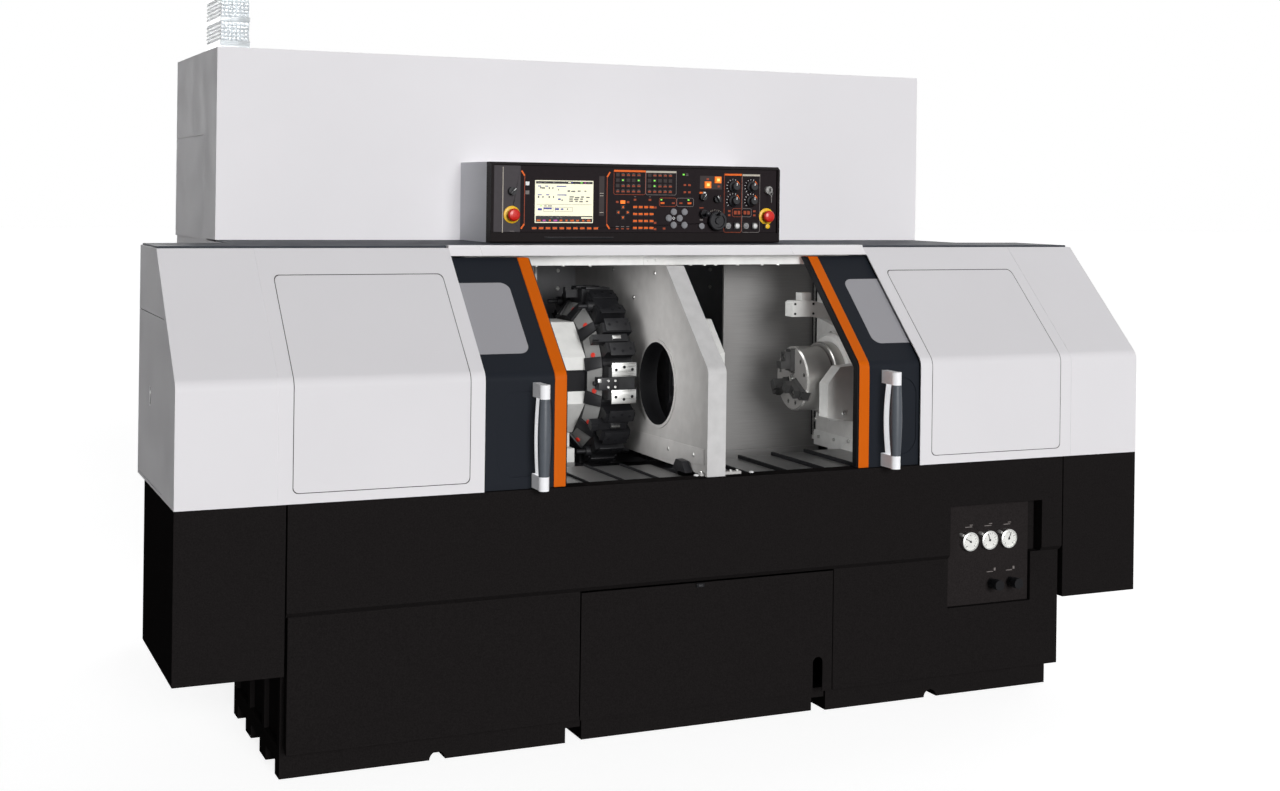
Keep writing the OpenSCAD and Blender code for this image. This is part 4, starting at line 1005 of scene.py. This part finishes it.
def cover_outline(gap):
    """Rounded outline (x, z) of the right front cover, drawn in by gap."""
    x0, x1, z0, z1, r = COVER[0] + gap, COVER[1] - gap, COVER[2] + gap, COVER[3] - gap, COVER_R
    fold = [z for y, z in front_line(0, z0, z1)[1:-1]]

    def corner(x, z, quarter):
        turns = [math.pi / 2 * (quarter + i / 5) for i in range(6)]
        return [(x + r * math.cos(t), z + r * math.sin(t)) for t in turns]

    rise = [(x1, z) for z in fold] + corner(x1 - r, z1 - r, 0)
    fall = corner(x0 + r, z1 - r, 1) + [(x0, z) for z in fold[::-1]]
    return rise + fall + corner(x0 + r, z0 + r, 2) + corner(x1 - r, z0 + r, 3)


COVER, COVER_R, COVER_GAP = (762, 1260, 787, 1360), 16, 2
SEAM_SHADE_FRONT, SEAM_SHADE_BACK = 0.4, 2.5
# Dark strips in the open gap round each front cover: painted shade, standing for the shadow in the gap.
seam_shade = Shape()
for sign in (-1, 1):
    loops = []
    for gap, inset in ((0, SEAM_SHADE_FRONT), (COVER_GAP, SEAM_SHADE_FRONT), (COVER_GAP, SEAM_SHADE_BACK),
                       (0, SEAM_SHADE_BACK)):
        loops.append([seam_shade.bm.verts.new((sign * x, skin_y(z, inset), z)) for x, z in cover_outline(gap)])
    for a, b in zip(loops, loops[1:] + loops[:1]):
        for i in range(len(a)):
            j = (i + 1) % len(a)
            seam_shade.bm.faces.new((a[i], a[j], b[j], b[i])[::sign])
bmesh.ops.recalc_face_normals(seam_shade.bm, faces=seam_shade.bm.faces[:])
seam_shade.done("cover_seam_shades", "frame", "black_paint", ["seam_shade"])

SEAL_W, SEAL_FRONT, SEAL_BACK, SEAL_LOW, SEAL_TOP = 4, 14, 40, SILL_Z + 2, 1401
section = front_line(SEAL_FRONT, SEAL_LOW, SEAL_TOP) + front_line(SEAL_BACK, SEAL_LOW, SEAL_TOP)[::-1]
for side in ("left", "right"):
    edge_low, edge_high = low_high(f"{side}_door_edge")
    start = edge_high.x - 0.2 if side == "left" else edge_low.x - SEAL_W + 0.2
    strip = Shape()
    strip.plate(section, (0, 1, 0), UP, (start, 0, 0), SEAL_W, 0, 1.0)
    strip.done(f"{side}_door_seal", f"{side}_door", "door_paint", ["seal"])

# Latches

latch = Shape()
latch.block((-52, 5, 437), (-26, 12.5, 449), 0, 1.5)
latch.block((-46, 2, 440), (-32, 6, 446), 1, 1.0)
latch.done("tank_latch", "coolant_tank", "black_paint", ["seal", "knob"])

LATCH_X, LATCH_Y, LATCH_Z = low_high("service_door")[0].x, 441.5, 1012
service = Shape()
service.block((LATCH_X + 0.6, LATCH_Y - 9, LATCH_Z - 24), (LATCH_X + 2.2, LATCH_Y + 9, LATCH_Z + 24), 0, 0.5)
service.turned((LATCH_X + 1, LATCH_Y, LATCH_Z + 10), (-1, 0, 0),
               [(6, 0), (6, 0.6), (5, 0.9), (1.2, 0.9), (1.0, 0.2), (0, 0.2)], 1, 20)
service.done("service_latch", "service_door", "black_paint", ["knob", "bright_steel"])

# Stage, light and camera


def light_path_mask(tree):
    """1 for rays that show the background itself, straight, by reflection or through glass."""
    path = tree.nodes.new("ShaderNodeLightPath")
    mask = path.outputs["Is Camera Ray"]
    for ray in ("Is Glossy Ray", "Is Transmission Ray"):
        mask = add_node(tree, "Math", {0: mask, 1: path.outputs[ray]}, "MAXIMUM").outputs["Value"]
    return mask


def make_world(ambient):
    world = bpy.data.worlds.new("studio")
    bpy.context.scene.world = world
    world.use_nodes = True
    tree = world.node_tree
    shown = tree.nodes["Background"]
    feed(tree, shown, {"Color": (1, 1, 1, 1), "Strength": 1.0})
    soft = add_node(tree, "Background", {"Color": (0.97, 0.98, 1.0, 1), "Strength": ambient})
    mix = add_node(tree, "MixShader", {
        0: light_path_mask(tree), 1: soft.outputs["Background"], 2: shown.outputs["Background"]
    })
    feed(tree, tree.nodes["World Output"], {"Surface": mix.outputs["Shader"]})


def make_floor(size, glow):
    corners = [(-size, -size, 0), (size, -size, 0), (size, size, 0), (-size, size, 0)]
    mesh = bpy.data.meshes.new("floor")
    mesh.from_pydata(corners, [], [(0, 1, 2, 3)])
    floor = add_object("floor", mesh)
    material = bpy.data.materials.new("pale_floor")
    material.use_nodes = True
    tree = material.node_tree
    tree.nodes.remove(tree.nodes["Principled BSDF"])
    matte = add_node(tree, "BsdfDiffuse", {"Color": (0.5, 0.5, 0.5, 1)})
    scaled = add_node(tree, "Math", {0: light_path_mask(tree), 1: glow}, "MULTIPLY")
    light = add_node(tree, "Emission", {"Color": (1, 1, 1, 1), "Strength": scaled.outputs["Value"]})
    both = add_node(tree, "AddShader", {0: matte.outputs["BSDF"], 1: light.outputs["Emission"]})
    feed(tree, tree.nodes["Material Output"], {"Surface": both.outputs["Shader"]})
    mesh.materials.append(material)


def make_sun(name, source, strength, angle):
    """Sunlight from the direction of source, spread over an angle."""
    data = bpy.data.lights.new(name, "SUN")
    data.energy = strength
    data.angle = math.radians(angle)
    add_object(name, data).rotation_euler = Vector(source).to_track_quat("Z", "Y").to_euler()


def make_work_lamp(name, place, towards, size, power):
    data = bpy.data.lights.new(name, "AREA")
    data.shape = "RECTANGLE"
    data.size, data.size_y = size[0] * MM, size[1] * MM
    data.energy = power
    lamp = add_object(name, data)
    lamp.visible_camera = False
    lamp.location = TO_FRAME @ Vector(place)
    lamp.rotation_euler = (-Vector(towards)).to_track_quat("Z", "Y").to_euler()


def make_camera(place, yaw, roll, focal_px, axis_px, image):
    """Camera that looks level, with a small roll; axis_px is the pixel row its optical axis meets."""
    data = bpy.data.cameras.new("camera")
    data.sensor_width = 36.0
    data.lens = focal_px * data.sensor_width / image[0]
    data.shift_y = (axis_px - image[1] / 2) / image[0]
    data.clip_end = 200.0
    camera = add_object("camera", data)
    level = Matrix.Rotation(-yaw, 4, "Z") @ Matrix.Rotation(math.pi / 2, 4, "X")
    place = Matrix.Translation(TO_FRAME @ Vector(place))
    camera.matrix_world = place @ level @ Matrix.Rotation(roll, 4, "Z")
    bpy.context.scene.camera = camera


make_world(0.055)
make_floor(60.0, 0.85)
make_sun("key", (-0.02, -0.97, 0.2), 2.75, 24)
make_sun("back_fill", (0.75, 0.5, 0.4), 0.8, 40)
make_sun("rear_fill", (0.1, 0.97, 0.2), 0.9, 40)
WORK_LAMPS = {
    # place, direction, size, power
    "left_work_lamp": ((-250, 470, 1340), (0.2, 0.1, -1), (420, 160), 0.4),
    "right_work_lamp": ((320, 360, 1340), (0.5, 0.2, -1), (300, 120), 0.4),
    "left_wash": ((-430, 270, 1040), (1, 0.2, -0.15), (240, 380), 1.5),
    "right_wash": ((90, 300, 1080), (1, 0.25, -0.1), (240, 380), 0.8),
    "left_glow": ((-330, 300, 830), (0.25, 1, 0.2), (200, 60), 0.12),
    "right_glow": ((400, 170, 830), (0.8, 1, 0.4), (200, 60), 0.2),
    "transfer_glow": ((120, 330, 1180), (0.25, 1, -0.5), (160, 160), 0.05),
}
for name, values in WORK_LAMPS.items():
    make_work_lamp(name, *values)
make_camera((-2287.2, -4561.5, 1607.3), yaw=0.41912, roll=0.01289, focal_px=1715.8, axis_px=191.86,
            image=(1280, 791))
bpy.context.scene.view_settings.view_transform = "Standard"
